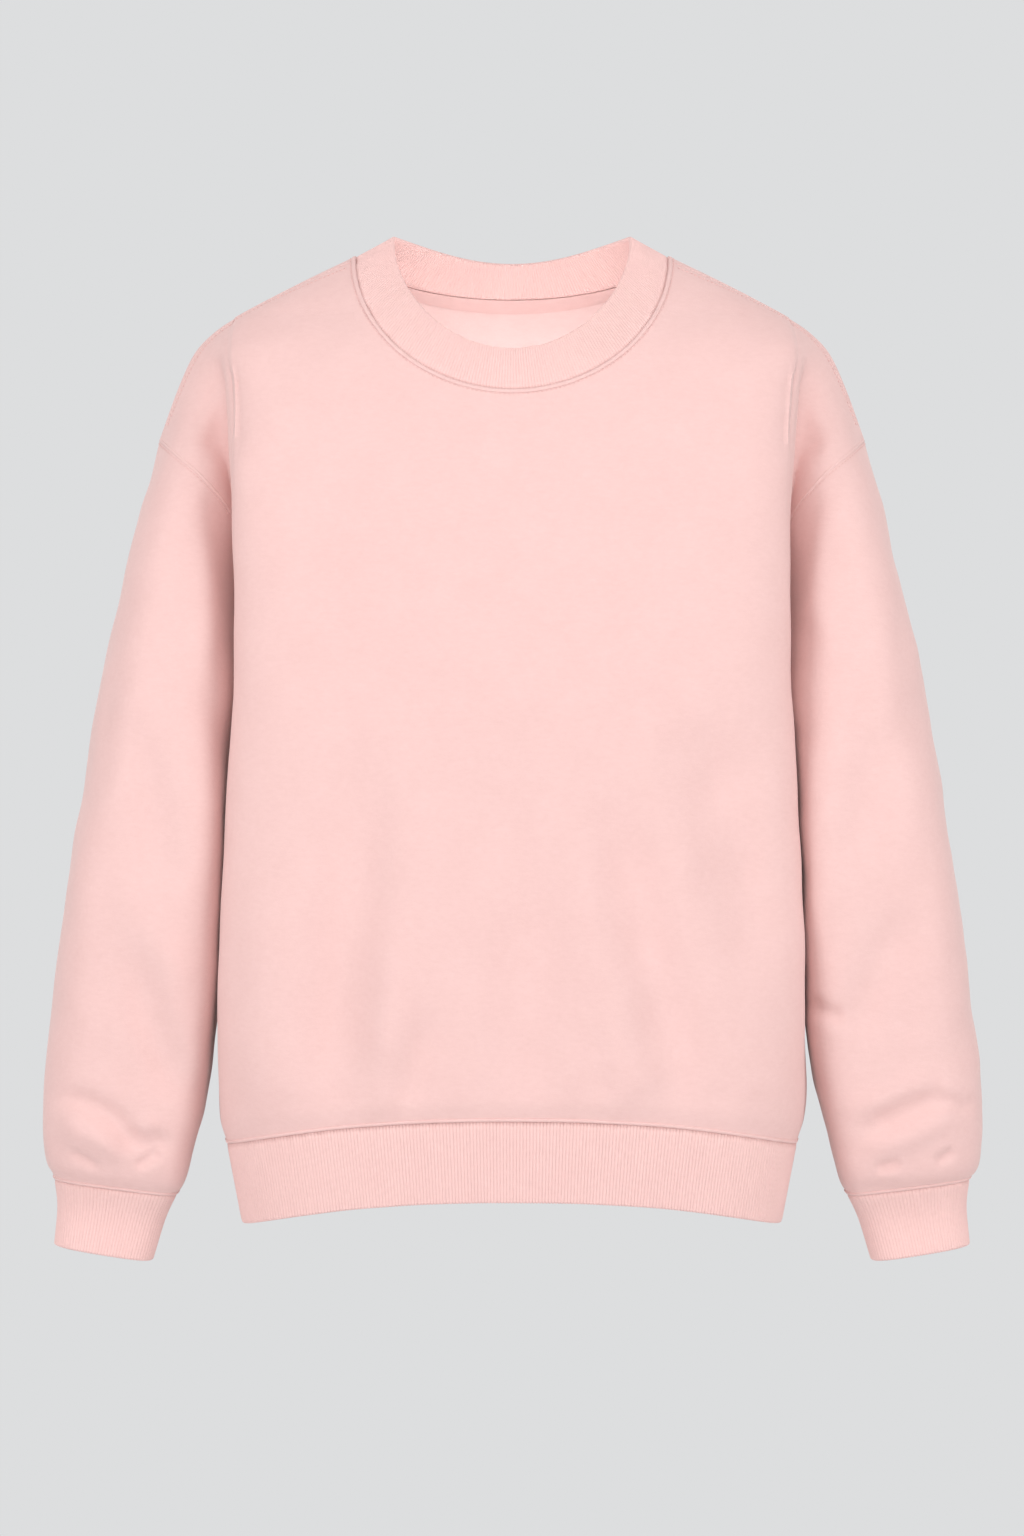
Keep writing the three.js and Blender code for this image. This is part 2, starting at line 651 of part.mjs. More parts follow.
// The collar band, a ring of columns that follow the neck seam
function collarRows(front, back) {
  const top = front.rows.length - 1;
  const seamOf = (piece, strips) => {
    const middle = (piece.rows[0].length - 1) / 2;
    return piece.rows[top].slice(middle - strips, middle + strips + 1);
  };
  const frontSeam = seamOf(front, STRIPS.frontNeck);
  const backSeam = seamOf(back, STRIPS.backNeck).reverse().slice(1, -1);
  const topOf = (strips, k, isFront) => {
    const turn = ((k / strips - 1) * Math.PI) / 2;
    const depth = Math.cos(turn);
    const c = COLLAR_TOP;
    const [drop, power, farY] = isFront
      ? [c.frontDrop, c.frontPower, c.frontY]
      : [c.backDrop, c.backPower, c.backY];
    const z = c.rise - drop * depth ** power;
    const x = (isFront ? 1 : -1) * c.halfWidth * Math.sin(turn);
    return point(x, lerp(SHOULDER_Y, farY, depth), z);
  };
  const seam = [...frontSeam, ...backSeam];
  const upper = [
    ...frontSeam.map((_, k) => topOf(STRIPS.frontNeck, k, true)),
    ...backSeam.map((_, k) => topOf(STRIPS.backNeck, k + 1, false)),
  ];
  return [seam, upper];
}

// The hem band, from its lower edge up to the seam
function hemRows(front, back) {
  const seam = [...front.rows[0], ...back.rows[0].slice(1, -1).reverse()];
  const low = seam.map((p, k) => {
    const isFront = k < front.rows[0].length;
    const lipX = body(HEM.sideZ, isFront ? "lipX" : "backLipX");
    const lipY = body(HEM.sideZ, isFront ? "lipY" : "backLipY");
    const [edgeY, middleY] = isFront
      ? [HEM_BAND.lipY, HEM_BAND.frontY]
      : [HEM_BAND.backLipY, HEM_BAND.backY];
    const seamMiddleY = body(HEM.sideZ, isFront ? "frontY" : "backY");
    const deep = (p.y - lipY) / (seamMiddleY - lipY);
    const y = deep > 0 ? lerp(edgeY, middleY, deep) : p.y * (edgeY / lipY);
    return point((p.x / lipX) * HEM_BAND.halfWidth, y, p.z - HEM_BAND.height);
  });
  return [low, seam];
}

function cuffRows(seam) {
  const squareness = [SQUARENESS.sleeve, SQUARENESS.sleeve, SQUARENESS.cuff];
  const ring = (i) => (p, k) =>
    ovalPoint(cuffRing, i, (2 * Math.PI * k) / seam.length, squareness[i]);
  return CUFF.map((_, i) => (i === 0 ? seam : seam.map(ring(i))));
}

// The strip of cloth that covers the neck seam inside the back
function tapeRows(back) {
  const top = back.rows.length - 1;
  const middle = (back.rows[0].length - 1) / 2;
  const rows = [TAPE.belowSeam + TAPE.width, TAPE.belowSeam].map((below) => {
    const row = [];
    for (let j = middle - STRIPS.backNeck; j <= middle + STRIPS.backNeck; j++) {
      const seam = innerPoint(back, top, j);
      const under = innerPoint(back, top - 1, j);
      const share = below / seam.distanceTo(under);
      const inward = wallDirection(back, top, j).clone().lerp(wallDirection(back, top - 1, j), share);
      const p = seam.lerp(under, share);
      row.push(p.addScaledVector(inward.normalize(), -TAPE.off));
    }
    return row;
  });
  // its ends stop short of the shoulder seams
  const short = 0.12;
  return rows.map((row) => {
    row[0].lerp(row[1], short);
    row[row.length - 1].lerp(row[row.length - 2], short);
    return row;
  });
}

const column = (piece, j, from, to) => {
  const list = [];
  for (let i = from; i <= to; i++) list.push(corner(piece, i, j));
  return list;
};
const rowOf = (piece, i, from, to) => {
  const list = [];
  const step = from <= to ? 1 : -1;
  for (let j = from; j !== to + step; j += step) list.push(corner(piece, i, j));
  return list;
};
const ringOf = (piece, i) => rowOf(piece, i, 0, piece.rows[0].length - 1);

function makePieces() {
  const front = surface("front", panelRows(FRONT));
  const back = surface("back", panelRows(BACK), { flip: true });
  const loop = armhole(front.rows, back.rows);
  const sleeve = sleeveRows(loop);
  const cuff = cuffRows(sleeve[SLEEVE_ROWS]);
  const rib = { closed: true, thickness: RIB_CLOTH };
  return {
    front,
    back,
    leftSleeve: surface("sleeve_left", sleeve, { closed: true }),
    rightSleeve: surface("sleeve_right", mirrorRows(sleeve), { closed: true, flip: true }),
    leftCuff: surface("cuff_left", cuff, rib),
    rightCuff: surface("cuff_right", mirrorRows(cuff), { ...rib, flip: true }),
    collar: surface("collar", collarRows(front, back), rib),
    hem: surface("hem_band", hemRows(front, back), rib),
  };
}

// The shared lines of all the pieces
function seamsOf({ front, back, leftSleeve, rightSleeve, leftCuff, rightCuff, collar, hem }) {
  const top = front.rows.length - 1;
  const underarm = LOWER_ROWS.length - 1;
  const last = { front: front.rows[0].length - 1, back: back.rows[0].length - 1 };
  const shoulder = STRIPS.innerShoulder + STRIPS.outerShoulder + STRIPS.lip + STRIPS.crease;
  const frontNeck = 2 * STRIPS.frontNeck;
  const backNeck = 2 * STRIPS.backNeck;
  const seams = [
    [column(front, 0, 0, underarm), column(back, 0, 0, underarm)],
    [column(front, last.front, 0, underarm), column(back, last.back, 0, underarm)],
    [rowOf(front, top, 0, shoulder), rowOf(back, top, 0, shoulder)],
    [
      rowOf(front, top, last.front - shoulder, last.front),
      rowOf(back, top, last.back - shoulder, last.back),
    ],
    [rowOf(front, top, shoulder, shoulder + frontNeck), rowOf(collar, 0, 0, frontNeck)],
    [
      rowOf(back, top, shoulder + backNeck, shoulder),
      [...rowOf(collar, 0, frontNeck, frontNeck + backNeck - 1), corner(collar, 0, 0)],
    ],
    [rowOf(front, 0, 0, last.front), rowOf(hem, 1, 0, last.front)],
    [
      rowOf(back, 0, last.back, 0),
      [...rowOf(hem, 1, last.front, last.front + last.back - 1), corner(hem, 1, 0)],
    ],
    [ringOf(leftSleeve, SLEEVE_ROWS), ringOf(leftCuff, 0)],
    [ringOf(rightSleeve, SLEEVE_ROWS), ringOf(rightCuff, 0)],
  ];
  const armholes = [
    { sleeve: leftSleeve, frontColumn: last.front, backColumn: last.back },
    { sleeve: rightSleeve, frontColumn: 0, backColumn: 0 },
  ];
  for (const { sleeve, frontColumn, backColumn } of armholes) {
    const frontEdge = column(front, frontColumn, underarm, top).reverse();
    const backEdge = column(back, backColumn, underarm, top);
    const upSleeve = rowOf(sleeve, 0, ARMHOLE_ROWS, 2 * ARMHOLE_ROWS - 1);
    seams.push([frontEdge, rowOf(sleeve, 0, 0, ARMHOLE_ROWS)]);
    seams.push([backEdge, [...upSleeve, corner(sleeve, 0, 0)]]);
  }
  return seams;
}

function build() {
  const pieces = makePieces();
  joinSeams(seamsOf(pieces));
  const tape = surface("neck_tape", tapeRows(pieces.back), { flip: true, thickness: TAPE.thickness });
  const fleece = new THREE.MeshStandardMaterial({ color: PINK, roughness: 0.95, metalness: 0 });
  const rib = new THREE.MeshStandardMaterial({ color: PINK_RIB, roughness: 0.92, metalness: 0 });
  const group = new THREE.Group();
  const add = (piece, geometry, material) => {
    const mesh = new THREE.Mesh(geometry, material);
    mesh.name = piece.name;
    group.add(mesh);
  };
  for (const piece of [pieces.front, pieces.back, pieces.leftSleeve, pieces.rightSleeve, tape]) {
    add(piece, wallGeometry(piece), fleece);
  }
  const pitches = [
    [pieces.collar, RIB_PITCH.collar],
    [pieces.hem, RIB_PITCH.hem],
    [pieces.leftCuff, RIB_PITCH.cuff],
    [pieces.rightCuff, RIB_PITCH.cuff],
  ];
  for (const [piece, pitch] of pitches) add(piece, ribbedGeometry(piece, pitch), rib);
  return group;
}

export default build();
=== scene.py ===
"""A light pink crewneck sweatshirt, filled out as if worn, dressed over its CAD solids.

The form is worked out from the same sizes as the solids, in millimetres, on a finer grid and with
deeper folds. +Z is up, the front faces -Y and +X is the wearer's left, which is the right-hand
side of the picture.
"""

import math

import bpy
import numpy as np
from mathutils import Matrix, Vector
from mathutils.bvhtree import BVHTree


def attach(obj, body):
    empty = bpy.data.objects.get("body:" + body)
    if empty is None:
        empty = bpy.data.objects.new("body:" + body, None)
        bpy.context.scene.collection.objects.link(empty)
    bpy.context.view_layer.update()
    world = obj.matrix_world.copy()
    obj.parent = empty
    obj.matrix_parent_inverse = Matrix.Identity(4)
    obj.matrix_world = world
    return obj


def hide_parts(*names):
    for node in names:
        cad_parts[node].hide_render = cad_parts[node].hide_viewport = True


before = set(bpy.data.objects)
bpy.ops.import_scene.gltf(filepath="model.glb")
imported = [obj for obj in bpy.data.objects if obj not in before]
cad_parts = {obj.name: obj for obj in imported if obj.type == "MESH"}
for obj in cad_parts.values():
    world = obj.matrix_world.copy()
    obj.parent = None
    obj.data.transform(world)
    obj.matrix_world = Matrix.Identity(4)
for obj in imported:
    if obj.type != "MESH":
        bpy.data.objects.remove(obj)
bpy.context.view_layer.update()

MM = 0.001

# Cloth and seams
CLOTH = 2.0
RIB_CLOTH = 3.0
# Seam allowances folded to one side, with the row of thread that holds them down
NECK_RIDGE = {"width": 3.2, "height": 0.9, "off": 0.1, "sewn": 3.9}
ARM_RIDGE = {"width": 2.4, "height": 0.45, "off": 0.4, "sewn": 4.2}
HEM_RIDGE = {"width": 2.6, "height": 1.0, "off": 0.0, "sewn": None}
# The shoulder's ridge and thread lie on these rows of the front, counted from its top
SHOULDER_RIDGE = {"width": 2.2, "height": 0.35, "row": 5, "sewn_row": 8}
SEAM_STEP = 1.5
STITCH = {"length": 2.3, "gap": 1.0, "thickness": 0.55}

# Body form, as in the CAD source
SHOULDER_Y = 3
UNDERARM_Z = -318
NECK_HALF_WIDTH = 112.5
COLLAR = {"half_width": 87.3, "rise": 14.4}
TAPE = {"width": 9.5, "below": 1.0, "tuck": 2.6, "off": 0.7, "thickness": 0.9}
HEM = {"side_z": -635, "power": 2.4, "height": 55.5, "half_width": 192}
HEM_LOW = {"front_y": -108, "back_y": 98, "lip_y": -26, "back_lip_y": 30}
SQUARE_TOP = 2.3
SQUARE_BODY = 2.75
SEAM_PULL = 1.6
SQUARE_CAP = 2.25
SQUARE_SLEEVE = 2.7
# How much squarer a sleeve is in front beside the body, at the armhole and further down
INNER_CORNER = {"top": 0.9, "low": 3.0}

# Ribs round each band
RIBS = {"collar": 310, "hem": 470, "cuff": 100}
RIB_RISE = {"collar": 0.5, "hem": 0.62, "cuff": 0.55}
RIB_PROFILE = np.array([1, 1, 0.85, 0, 0.85, 1])
RIB_STEPS = len(RIB_PROFILE)
RIB_ROWS = 12
RIB_TUCK = {"depth": 0.6, "reach": 2.2}
RIB_PUCKER = {"depth": 0.28, "reach": 9, "scale": 9}
RIB_SINK = 0.2
RIB_FOLD_STEPS = 7

# Grid lines between the named lines of a panel
NECK_STRIPS = 40
INNER_SHOULDER_STRIPS = 16
OUTER_SHOULDER_STRIPS = 22
LIP_STRIPS = 14
CREASE_STRIPS = 14
ARMHOLE_ROWS = 84
LOWER_ROWS = 96
SLEEVE_ROWS = 176

# How much deeper and broader folds are than their tables say
PANEL_FOLDS = {"depth": 2.0, "width": 1.5}
SLEEVE_FOLDS = {"depth": 1.5, "width": 0.95}

# Unevenness of the cloth, as waves of two sizes
PANEL_UNEVEN = {"broad": 95, "broad_depth": 0.75, "fine": 38, "fine_depth": 0.3}
SLEEVE_UNEVEN = {"broad": 85, "broad_depth": 0.8, "fine": 34, "fine_depth": 0.35}
# Distances from a panel's edges over which its folds and unevenness fade
STILL = {"top": 45, "hem": 30, "side": 40}

CAMERA = {"distance": 3200, "height": -369, "frame_height": 1105.9}


def table(heading, rows):
    """Named columns of numbers, with the row's place as one more column."""
    data = np.array(rows, float)
    columns = {name: data[:, i] for i, name in enumerate(heading.split())}
    columns["index"] = np.arange(len(rows), dtype=float)
    return columns


SHOULDER_LINE = table("x z", [
    [112.5, 0],
    [131.8, -9.4],
    [151.9, -19.4],
    [176, -32],
    [200.2, -45.4],
    [216, -56.5],
    [229.3, -71.3],
    [241.2, -97.2],
    [253.4, -131],
])

# How a panel turns in beside the sleeve, from the shoulder (0) to the underarm (1)
SIDE_COLUMNS = "down lip_x lip_y lip_z crease_x crease_y crease_z seam_x seam_y seam_z"
FRONT_SIDE = table(SIDE_COLUMNS, [
    [0, 200.2, 3, -45.4, 229.3, 3, -71.3, 253.4, 3, -131],
    [0.15, 202, -40, -74, 213, -29, -92, 239, -37, -144],
    [0.3, 198, -58, -112, 205.5, -36, -124, 217, -48, -163],
    [0.45, 196, -66, -152, 199.5, -37, -166, 197, -31, -190],
    [0.6, 195.5, -67, -200, 195, -38, -212, 186, -13, -228],
    [0.8, 195.5, -68, -258, 191, -36, -265, 178, 3, -275],
    [1, 196.5, -68, -318, 188, -30, -318, 172, 18, -318],
])
BACK_SIDE = table(SIDE_COLUMNS, [
    [0, 200.2, 3, -45.4, 229.3, 3, -71.3, 253.4, 3, -131],
    [0.15, 205, 42, -76, 226, 34, -102, 244, 36, -148],
    [0.3, 204, 60, -112, 217, 49, -138, 229, 52, -171],
    [0.45, 200, 68, -155, 207, 55, -177, 211, 54, -200],
    [0.6, 195, 70, -200, 197, 56, -218, 196, 46, -236],
    [0.8, 191, 69, -258, 187, 50, -268, 182, 33, -280],
    [1, 189, 66, -318, 181, 43, -318, 172, 18, -318],
])

# Level sections of the body below the underarm
BODY = table("z lip_x lip_y front_y side_x side_y back_lip_x back_lip_y back_y", [
    [-318, 196.5, -68, -118, 172, 18, 189, 66, 115],
    [-390, 201.5, -66, -119.5, 177, 16, 194, 66, 115.5],
    [-460, 205, -62, -121, 185, 14, 198, 62, 115],
    [-530, 207, -56, -122.5, 196, 12, 203, 55, 114],
    [-590, 208, -45, -123, 206.5, 8, 205.5, 45, 113],
    [-618, 207, -38, -121.5, 206.5, 5, 204.5, 38, 111],
    [-635, 202, -35, -115.5, 201.5, 4, 200.5, 35, 106],
])

# Ovals round a sleeve and its cuff, each through an outer and an inner point
RING_COLUMNS = "outer_x outer_z inner_x inner_z mid_y half_depth"
SLEEVE = table(RING_COLUMNS, [
    [253.4, -131, 172, -318, 6, 61],
    [264.5, -178, 187, -330, 1, 70],
    [277.5, -228, 197, -352, -3, 74],
    [290, -286, 200.5, -380, -6, 75],
    [301.5, -348, 202.5, -414, -8, 74],
    [311, -406, 204, -454, -9, 72],
    [319.3, -462, 206, -496, -10, 68],
    [326.3, -518, 209.5, -538, -10, 63],
    [332.3, -568, 215, -580, -10, 58],
    [335, -604, 221.5, -612, -10, 54],
    [336, -632, 228.5, -640, -9, 49],
    [334, -652, 234.5, -662, -8, 43],
    [328, -663, 240.5, -674, -6, 34],
])
CUFF = table(RING_COLUMNS, [
    [328, -663, 240.5, -674, -6, 34],
    [326, -683, 249, -692, -6, 27],
    [328, -708.5, 257.5, -720, -9, 25],
])

# Folds, each a bent line from start through middle to end in the front view. Where depth is over
# 0 it is a trough, and under 0 a ridge. lean lifts the cloth beside it on one side.
FOLD_COLUMNS = "x0 z0 x1 z1 x2 z2 width depth lean"
FRONT_FOLDS = table(FOLD_COLUMNS, [
    [-101, -360, -114, -470, -126, -606, 15, 4.6, -0.5],
    [74, -380, 88, -475, 119, -606, 15, 5.0, 0.5],
    [126, -335, 150, -412, 184, -515, 20, 4.2, 0.4],
    [-57, -540, -65, -575, -73, -608, 8, 2.0, 0.4],
    [24, -415, 9, -525, 8, -602, 17, 3.2, -0.4],
    [55, -548, 58, -575, 61, -600, 7, 1.4, 0.3],
    [-168, -420, -172, -520, -160, -600, 22, -2.2, 0],
    [-84, -470, -86, -530, -90, -580, 15, -2.0, 0],
    [80, -490, 88, -545, 98, -600, 13, -2.2, 0],
    [158, -330, 166, -400, 172, -470, 22, 2.0, 0],
    [-150, -150, -110, -230, -95, -330, 34, 2.0, 0],
    [120, -130, 60, -200, 20, -300, 38, 2.0, 0],
    [-60, -300, 10, -340, 70, -350, 30, -1.6, 0],
    [-213, -78, -212, -108, -206, -150, 13, 3.2, 0],
    [213, -78, 212, -108, 206, -150, 13, 3.2, 0],
    [-164, -628, -160, -612, -152, -596, 7.2, 0.45, 0],
    [-128, -622, -122, -606, -117, -588, 6, 0.49, 0],
    [-96, -620, -90, -606, -80, -594, 6, -0.35, 0],
    [-15, -615, -18, -600, -26, -586, 7.2, 0.45, 0],
    [28, -615, 30, -600, 36, -588, 6, 0.35, 0],
    [100, -620, 96, -606, 90, -592, 6, 0.39, 0],
    [148, -626, 146, -608, 140, -590, 7.2, 0.49, 0],
    [176, -632, 176, -612, 170, -594, 7.2, 0.35, 0],
])
BACK_FOLDS = table(FOLD_COLUMNS, [
    [-118, -300, -132, -450, -152, -606, 18, 4.6, -0.5],
    [-42, -410, -46, -510, -58, -606, 15, 3.4, 0.4],
    [22, -370, 28, -500, 36, -604, 16, 3.8, -0.5],
    [112, -310, 122, -450, 140, -604, 18, 4.6, 0.5],
    [-80, -480, -88, -550, -96, -604, 12, -2.4, 0],
    [76, -500, 84, -560, 90, -606, 12, -2.2, 0],
    [-130, -110, -90, -180, -60, -290, 34, 2.2, 0],
    [140, -120, 100, -190, 70, -300, 34, 2.2, 0],
    [-160, -632, -156, -612, -146, -594, 7.2, 0.49, 0],
    [-110, -630, -104, -612, -100, -598, 7.2, 0.42, 0],
    [-24, -628, -26, -612, -32, -596, 7.2, 0.42, 0],
    [62, -628, 60, -612, 52, -598, 7.2, 0.45, 0],
    [118, -630, 116, -612, 108, -598, 7.2, 0.42, 0],
    [168, -634, 164, -616, 158, -600, 7.2, 0.42, 0],
])
# Sleeve folds give x as a distance from the body's middle. turns says front (-1) or back (1).
RIGHT_SLEEVE_FOLDS = table(FOLD_COLUMNS + " turns", [
    [262, -330, 254, -395, 246, -450, 15, 2.6, 0.3, -1],
    [282, -430, 256, -480, 232, -518, 16, -2.0, 0, -1],
    [268, -500, 252, -555, 238, -598, 15, 4.0, 0.5, -1],
    [326, -606, 292, -596, 268, -634, 9, 3.2, -0.9, -1],
    [276, -626, 262, -640, 243, -630, 8, 2.8, 0.6, -1],
    [322, -632, 296, -622, 274, -646, 10, -2.2, 0, -1],
    [314, -641, 303, -646, 293, -652, 4.5, 1.7, 0.4, -1],
    [266, -652, 259, -647, 250, -641, 4.5, 1.9, -0.4, -1],
    [300, -420, 304, -500, 306, -570, 16, -2.0, 0, -1],
    [292, -200, 288, -290, 290, -380, 22, 1.8, 0, -1],
    [218, -165, 217, -230, 216, -305, 11, -4.0, 0, -1],
    [300, -380, 262, -450, 240, -520, 15, 4.0, 0.5, 1],
    [312, -520, 280, -560, 240, -590, 13, 3.6, 0.5, 1],
    [322, -612, 290, -622, 246, -618, 10, 3.4, 0.7, 1],
    [300, -648, 280, -640, 262, -646, 5, 1.8, 0, 1],
    [270, -230, 256, -300, 250, -370, 20, 2.6, 0, 1],
])
LEFT_SLEEVE_FOLDS = table(FOLD_COLUMNS + " turns", [
    [262, -340, 254, -385, 244, -430, 16, 2.6, 0.3, -1],
    [207, -531, 218, -541, 234, -545, 6, 2.2, 0.5, -1],
    [236, -560, 256, -530, 276, -470, 17, 3.2, -0.4, -1],
    [247, -628, 276, -610, 304, -602, 9, 3.2, -0.8, -1],
    [298, -604, 312, -604, 326, -612, 7, 2.0, -0.6, -1],
    [250, -640, 280, -634, 308, -614, 10, -2.2, 0, -1],
    [257, -652, 265, -652, 275, -648, 4.5, 1.8, 0.4, -1],
    [300, -648, 306, -645, 313, -640, 4.5, 1.7, -0.4, -1],
    [300, -430, 306, -500, 306, -560, 16, -2.0, 0, -1],
    [290, -210, 288, -300, 284, -370, 22, 1.8, 0, -1],
    [218, -165, 218, -220, 219, -280, 11, -4.0, 0, -1],
    [302, -400, 268, -455, 244, -530, 15, 4.0, 0.5, 1],
    [310, -530, 276, -575, 240, -600, 13, 3.4, 0.5, 1],
    [324, -616, 292, -620, 248, -622, 10, 3.4, 0.7, 1],
    [296, -650, 280, -642, 260, -648, 5, 1.8, 0, 1],
    [272, -240, 258, -310, 252, -380, 20, 2.6, 0, 1],
])


def smooth(t):
    t = np.clip(t, 0, 1)
    return t * t * (3 - 2 * t)


def lerp(a, b, t):
    return a + (b - a) * t


def unit(v):
    return v / np.maximum(np.linalg.norm(v, axis=-1, keepdims=True), 1e-9)


def through(columns, key):
    """A smooth curve through a table's rows: key runs along it, and the result reads the rest."""
    keys = columns[key]
    last = len(keys) - 1

    def at(value, name):
        values = columns[name]
        value = np.asarray(value, float)
        ahead = keys if keys[-1] > keys[0] else -keys
        want = value if keys[-1] > keys[0] else -value
        i = np.clip(np.searchsorted(ahead, want, side="right") - 1, 0, last - 1)
        span = keys[i + 1] - keys[i]
        t = np.clip((value - keys[i]) / span, 0, 1)
        low, high = np.maximum(i - 1, 0), np.minimum(i + 2, last)
        start = (values[i + 1] - values[low]) / (keys[i + 1] - keys[low])
        end = (values[high] - values[i]) / (keys[high] - keys[i])
        ease = t * t * (3 - 2 * t)
        bend = span * (start * t * (1 - t) ** 2 - end * t * t * (1 - t))
        return lerp(values[i], values[i + 1], ease) + bend

    return at


shoulder_line = through(SHOULDER_LINE, "index")
ridge_at_height = through(SHOULDER_LINE, "z")
body = through(BODY, "z")
sleeve_ring = through(SLEEVE, "index")
cuff_ring = through(CUFF, "index")

FRONT = {
    "sign": -1,
    "side": through(FRONT_SIDE, "down"),
    "lip": through(FRONT_SIDE, "lip_z"),
    "neck_drop": 103,
    "neck_power": 1.0,
    "depth": 121,
    "roll_height": 300,
    "roll_power": 1.8,
    "hem_z": -614.7,
    "middle_y": "front_y",
    "lip_x": "lip_x",
    "lip_y": "lip_y",
    "folds": FRONT_FOLDS,
    "seed": 3,
}
BACK = {
    "sign": 1,
    "side": through(BACK_SIDE, "down"),
    "lip": through(BACK_SIDE, "lip_z"),
    "neck_drop": 25.6,
    "neck_power": 1.3,
    "depth": 112,
    "roll_height": 190,
    "roll_power": 2.0,
    "hem_z": -630,
    "middle_y": "back_y",
    "lip_x": "back_lip_x",
    "lip_y": "back_lip_y",
    "folds": BACK_FOLDS,
    "seed": 5,
}


def xyz(x, y, z):
    return np.stack(np.broadcast_arrays(np.asarray(x, float), y, z), axis=-1)


def shoulder_point(index):
    return xyz(shoulder_line(index, "x"), SHOULDER_Y, shoulder_line(index, "z"))


def roundness(down):
    """How much fuller a panel's side is near the shoulder seam than its table says."""
    return (np.clip(down, 1e-5, 0.15) / 0.15) ** -0.18


def side_line(panel, down, name):
    """The lip, crease or seam of a panel beside the sleeve."""
    side = panel["side"]
    y = SHOULDER_Y + (side(down, name + "_y") - SHOULDER_Y) * roundness(down)
    return xyz(side(down, name + "_x"), y, side(down, name + "_z"))


def panel_y(panel, x, z):
    """A panel's depth at a place in the front view, between its middle and its lip."""
    x, z = np.broadcast_arrays(np.abs(x), z)
    on_ridge = z > SHOULDER_LINE["z"][4]
    low = z < UNDERARM_Z
    lip_x, lip_y = panel["lip_x"], panel["lip_y"]
    half = np.where(on_ridge, ridge_at_height(z, "x"),
                    np.where(low, body(z, lip_x), panel["lip"](z, "lip_x")))
    upper_lip = panel["lip"](z, "lip_y") - SHOULDER_Y
    upper_lip = SHOULDER_Y + upper_lip * roundness(panel["lip"](z, "down"))
    edge = np.where(on_ridge, SHOULDER_Y, np.where(low, body(z, lip_y), upper_lip))
    drop = np.clip(-z / panel["roll_height"], 0, 1)
    power = panel["roll_power"]
    rolled = (1 - (1 - drop) ** power) ** (1 / power)
    middle = np.where(low, body(z, panel["middle_y"]),
                      SHOULDER_Y + panel["sign"] * panel["depth"] * rolled)
    square = lerp(SQUARE_TOP, SQUARE_BODY, smooth(-z / 200))
    fullness = (1 - np.minimum(1, x / half) ** square) ** (1 / square)
    return lerp(edge, middle, fullness)


def neck_point(panel, turn):
    x = NECK_HALF_WIDTH * np.sin(turn)
    z = -panel["neck_drop"] * np.maximum(0, np.cos(turn)) ** panel["neck_power"]
    return xyz(x, panel_y(panel, x, z), z)


def neck_turns():
    """Quarter turns of the neck's columns, closer together near the shoulder."""
    t = np.arange(NECK_STRIPS) / NECK_STRIPS
    return lerp(t, np.sin(t * math.pi / 2), 0.4)


def inner_lines(panel):
    """Tops and shares of a panel's grid lines across half of it, from its middle to its lip."""
    t = neck_turns()
    s = np.arange(INNER_SHOULDER_STRIPS) / INNER_SHOULDER_STRIPS
    r = np.arange(OUTER_SHOULDER_STRIPS + 1) / OUTER_SHOULDER_STRIPS
    tops = [neck_point(panel, t * math.pi / 2), shoulder_point(2 * s), shoulder_point(2 + 2 * r)]
    shares = [0.64 * t, lerp(0.64, 0.82, s), lerp(0.82, 1, 1 - (1 - r) ** 1.4)]
    return np.concatenate(tops), np.concatenate(shares)


def upper_inner(panel, tops, shares, down):
    """Rows of points between the shoulder or neck and the underarm."""
    down = down[:, None]
    lip_low = body(UNDERARM_Z, panel["lip_x"])
    rise = panel["side"](down, "lip_z") - lerp(SHOULDER_LINE["z"][4], UNDERARM_Z, down)
    z = lerp(tops[None, :, 2], UNDERARM_Z, down) + rise * smooth((shares - 0.6) / 0.4)
    inward = down**0.75
    plain_lip = lerp(SHOULDER_LINE["x"][4], lip_low, inward)
    stretch = lerp(1, panel["side"](down, "lip_x") / plain_lip, shares**2)
    x = lerp(tops[None, :, 0], shares * lip_low, inward) * stretch
    points = xyz(x, panel_y(panel, x, z), z)
    if shares[-1] == 1:
        points[:, -1] = side_line(panel, down[:, 0], "lip")
    return points


def bend(a, b, c, d, t):
    """Smooth curve between b and c, with a and d before and after, at every t."""
    t = t[None, :, None]
    a, b, c, d = (v[:, None, :] for v in (a, b, c, d))
    return b + 0.5 * t * (c - a + t * (2 * a - 5 * b + 4 * c - d + t * (3 * (b - c) + d - a)))


def side_strips(before, lip, crease, seam):
    lip_t = np.arange(1, LIP_STRIPS + 1) / LIP_STRIPS
    crease_t = np.arange(1, CREASE_STRIPS + 1) / CREASE_STRIPS
    first = bend(before, lip, crease, seam, lip_t)
    second = bend(lip, crease, seam, 2 * seam - crease, crease_t)
    return np.concatenate([first, second], axis=1)


BEFORE_LIP = 1 - 0.28 * 0.5**1.6  # share of the half width where the turn into the lip starts


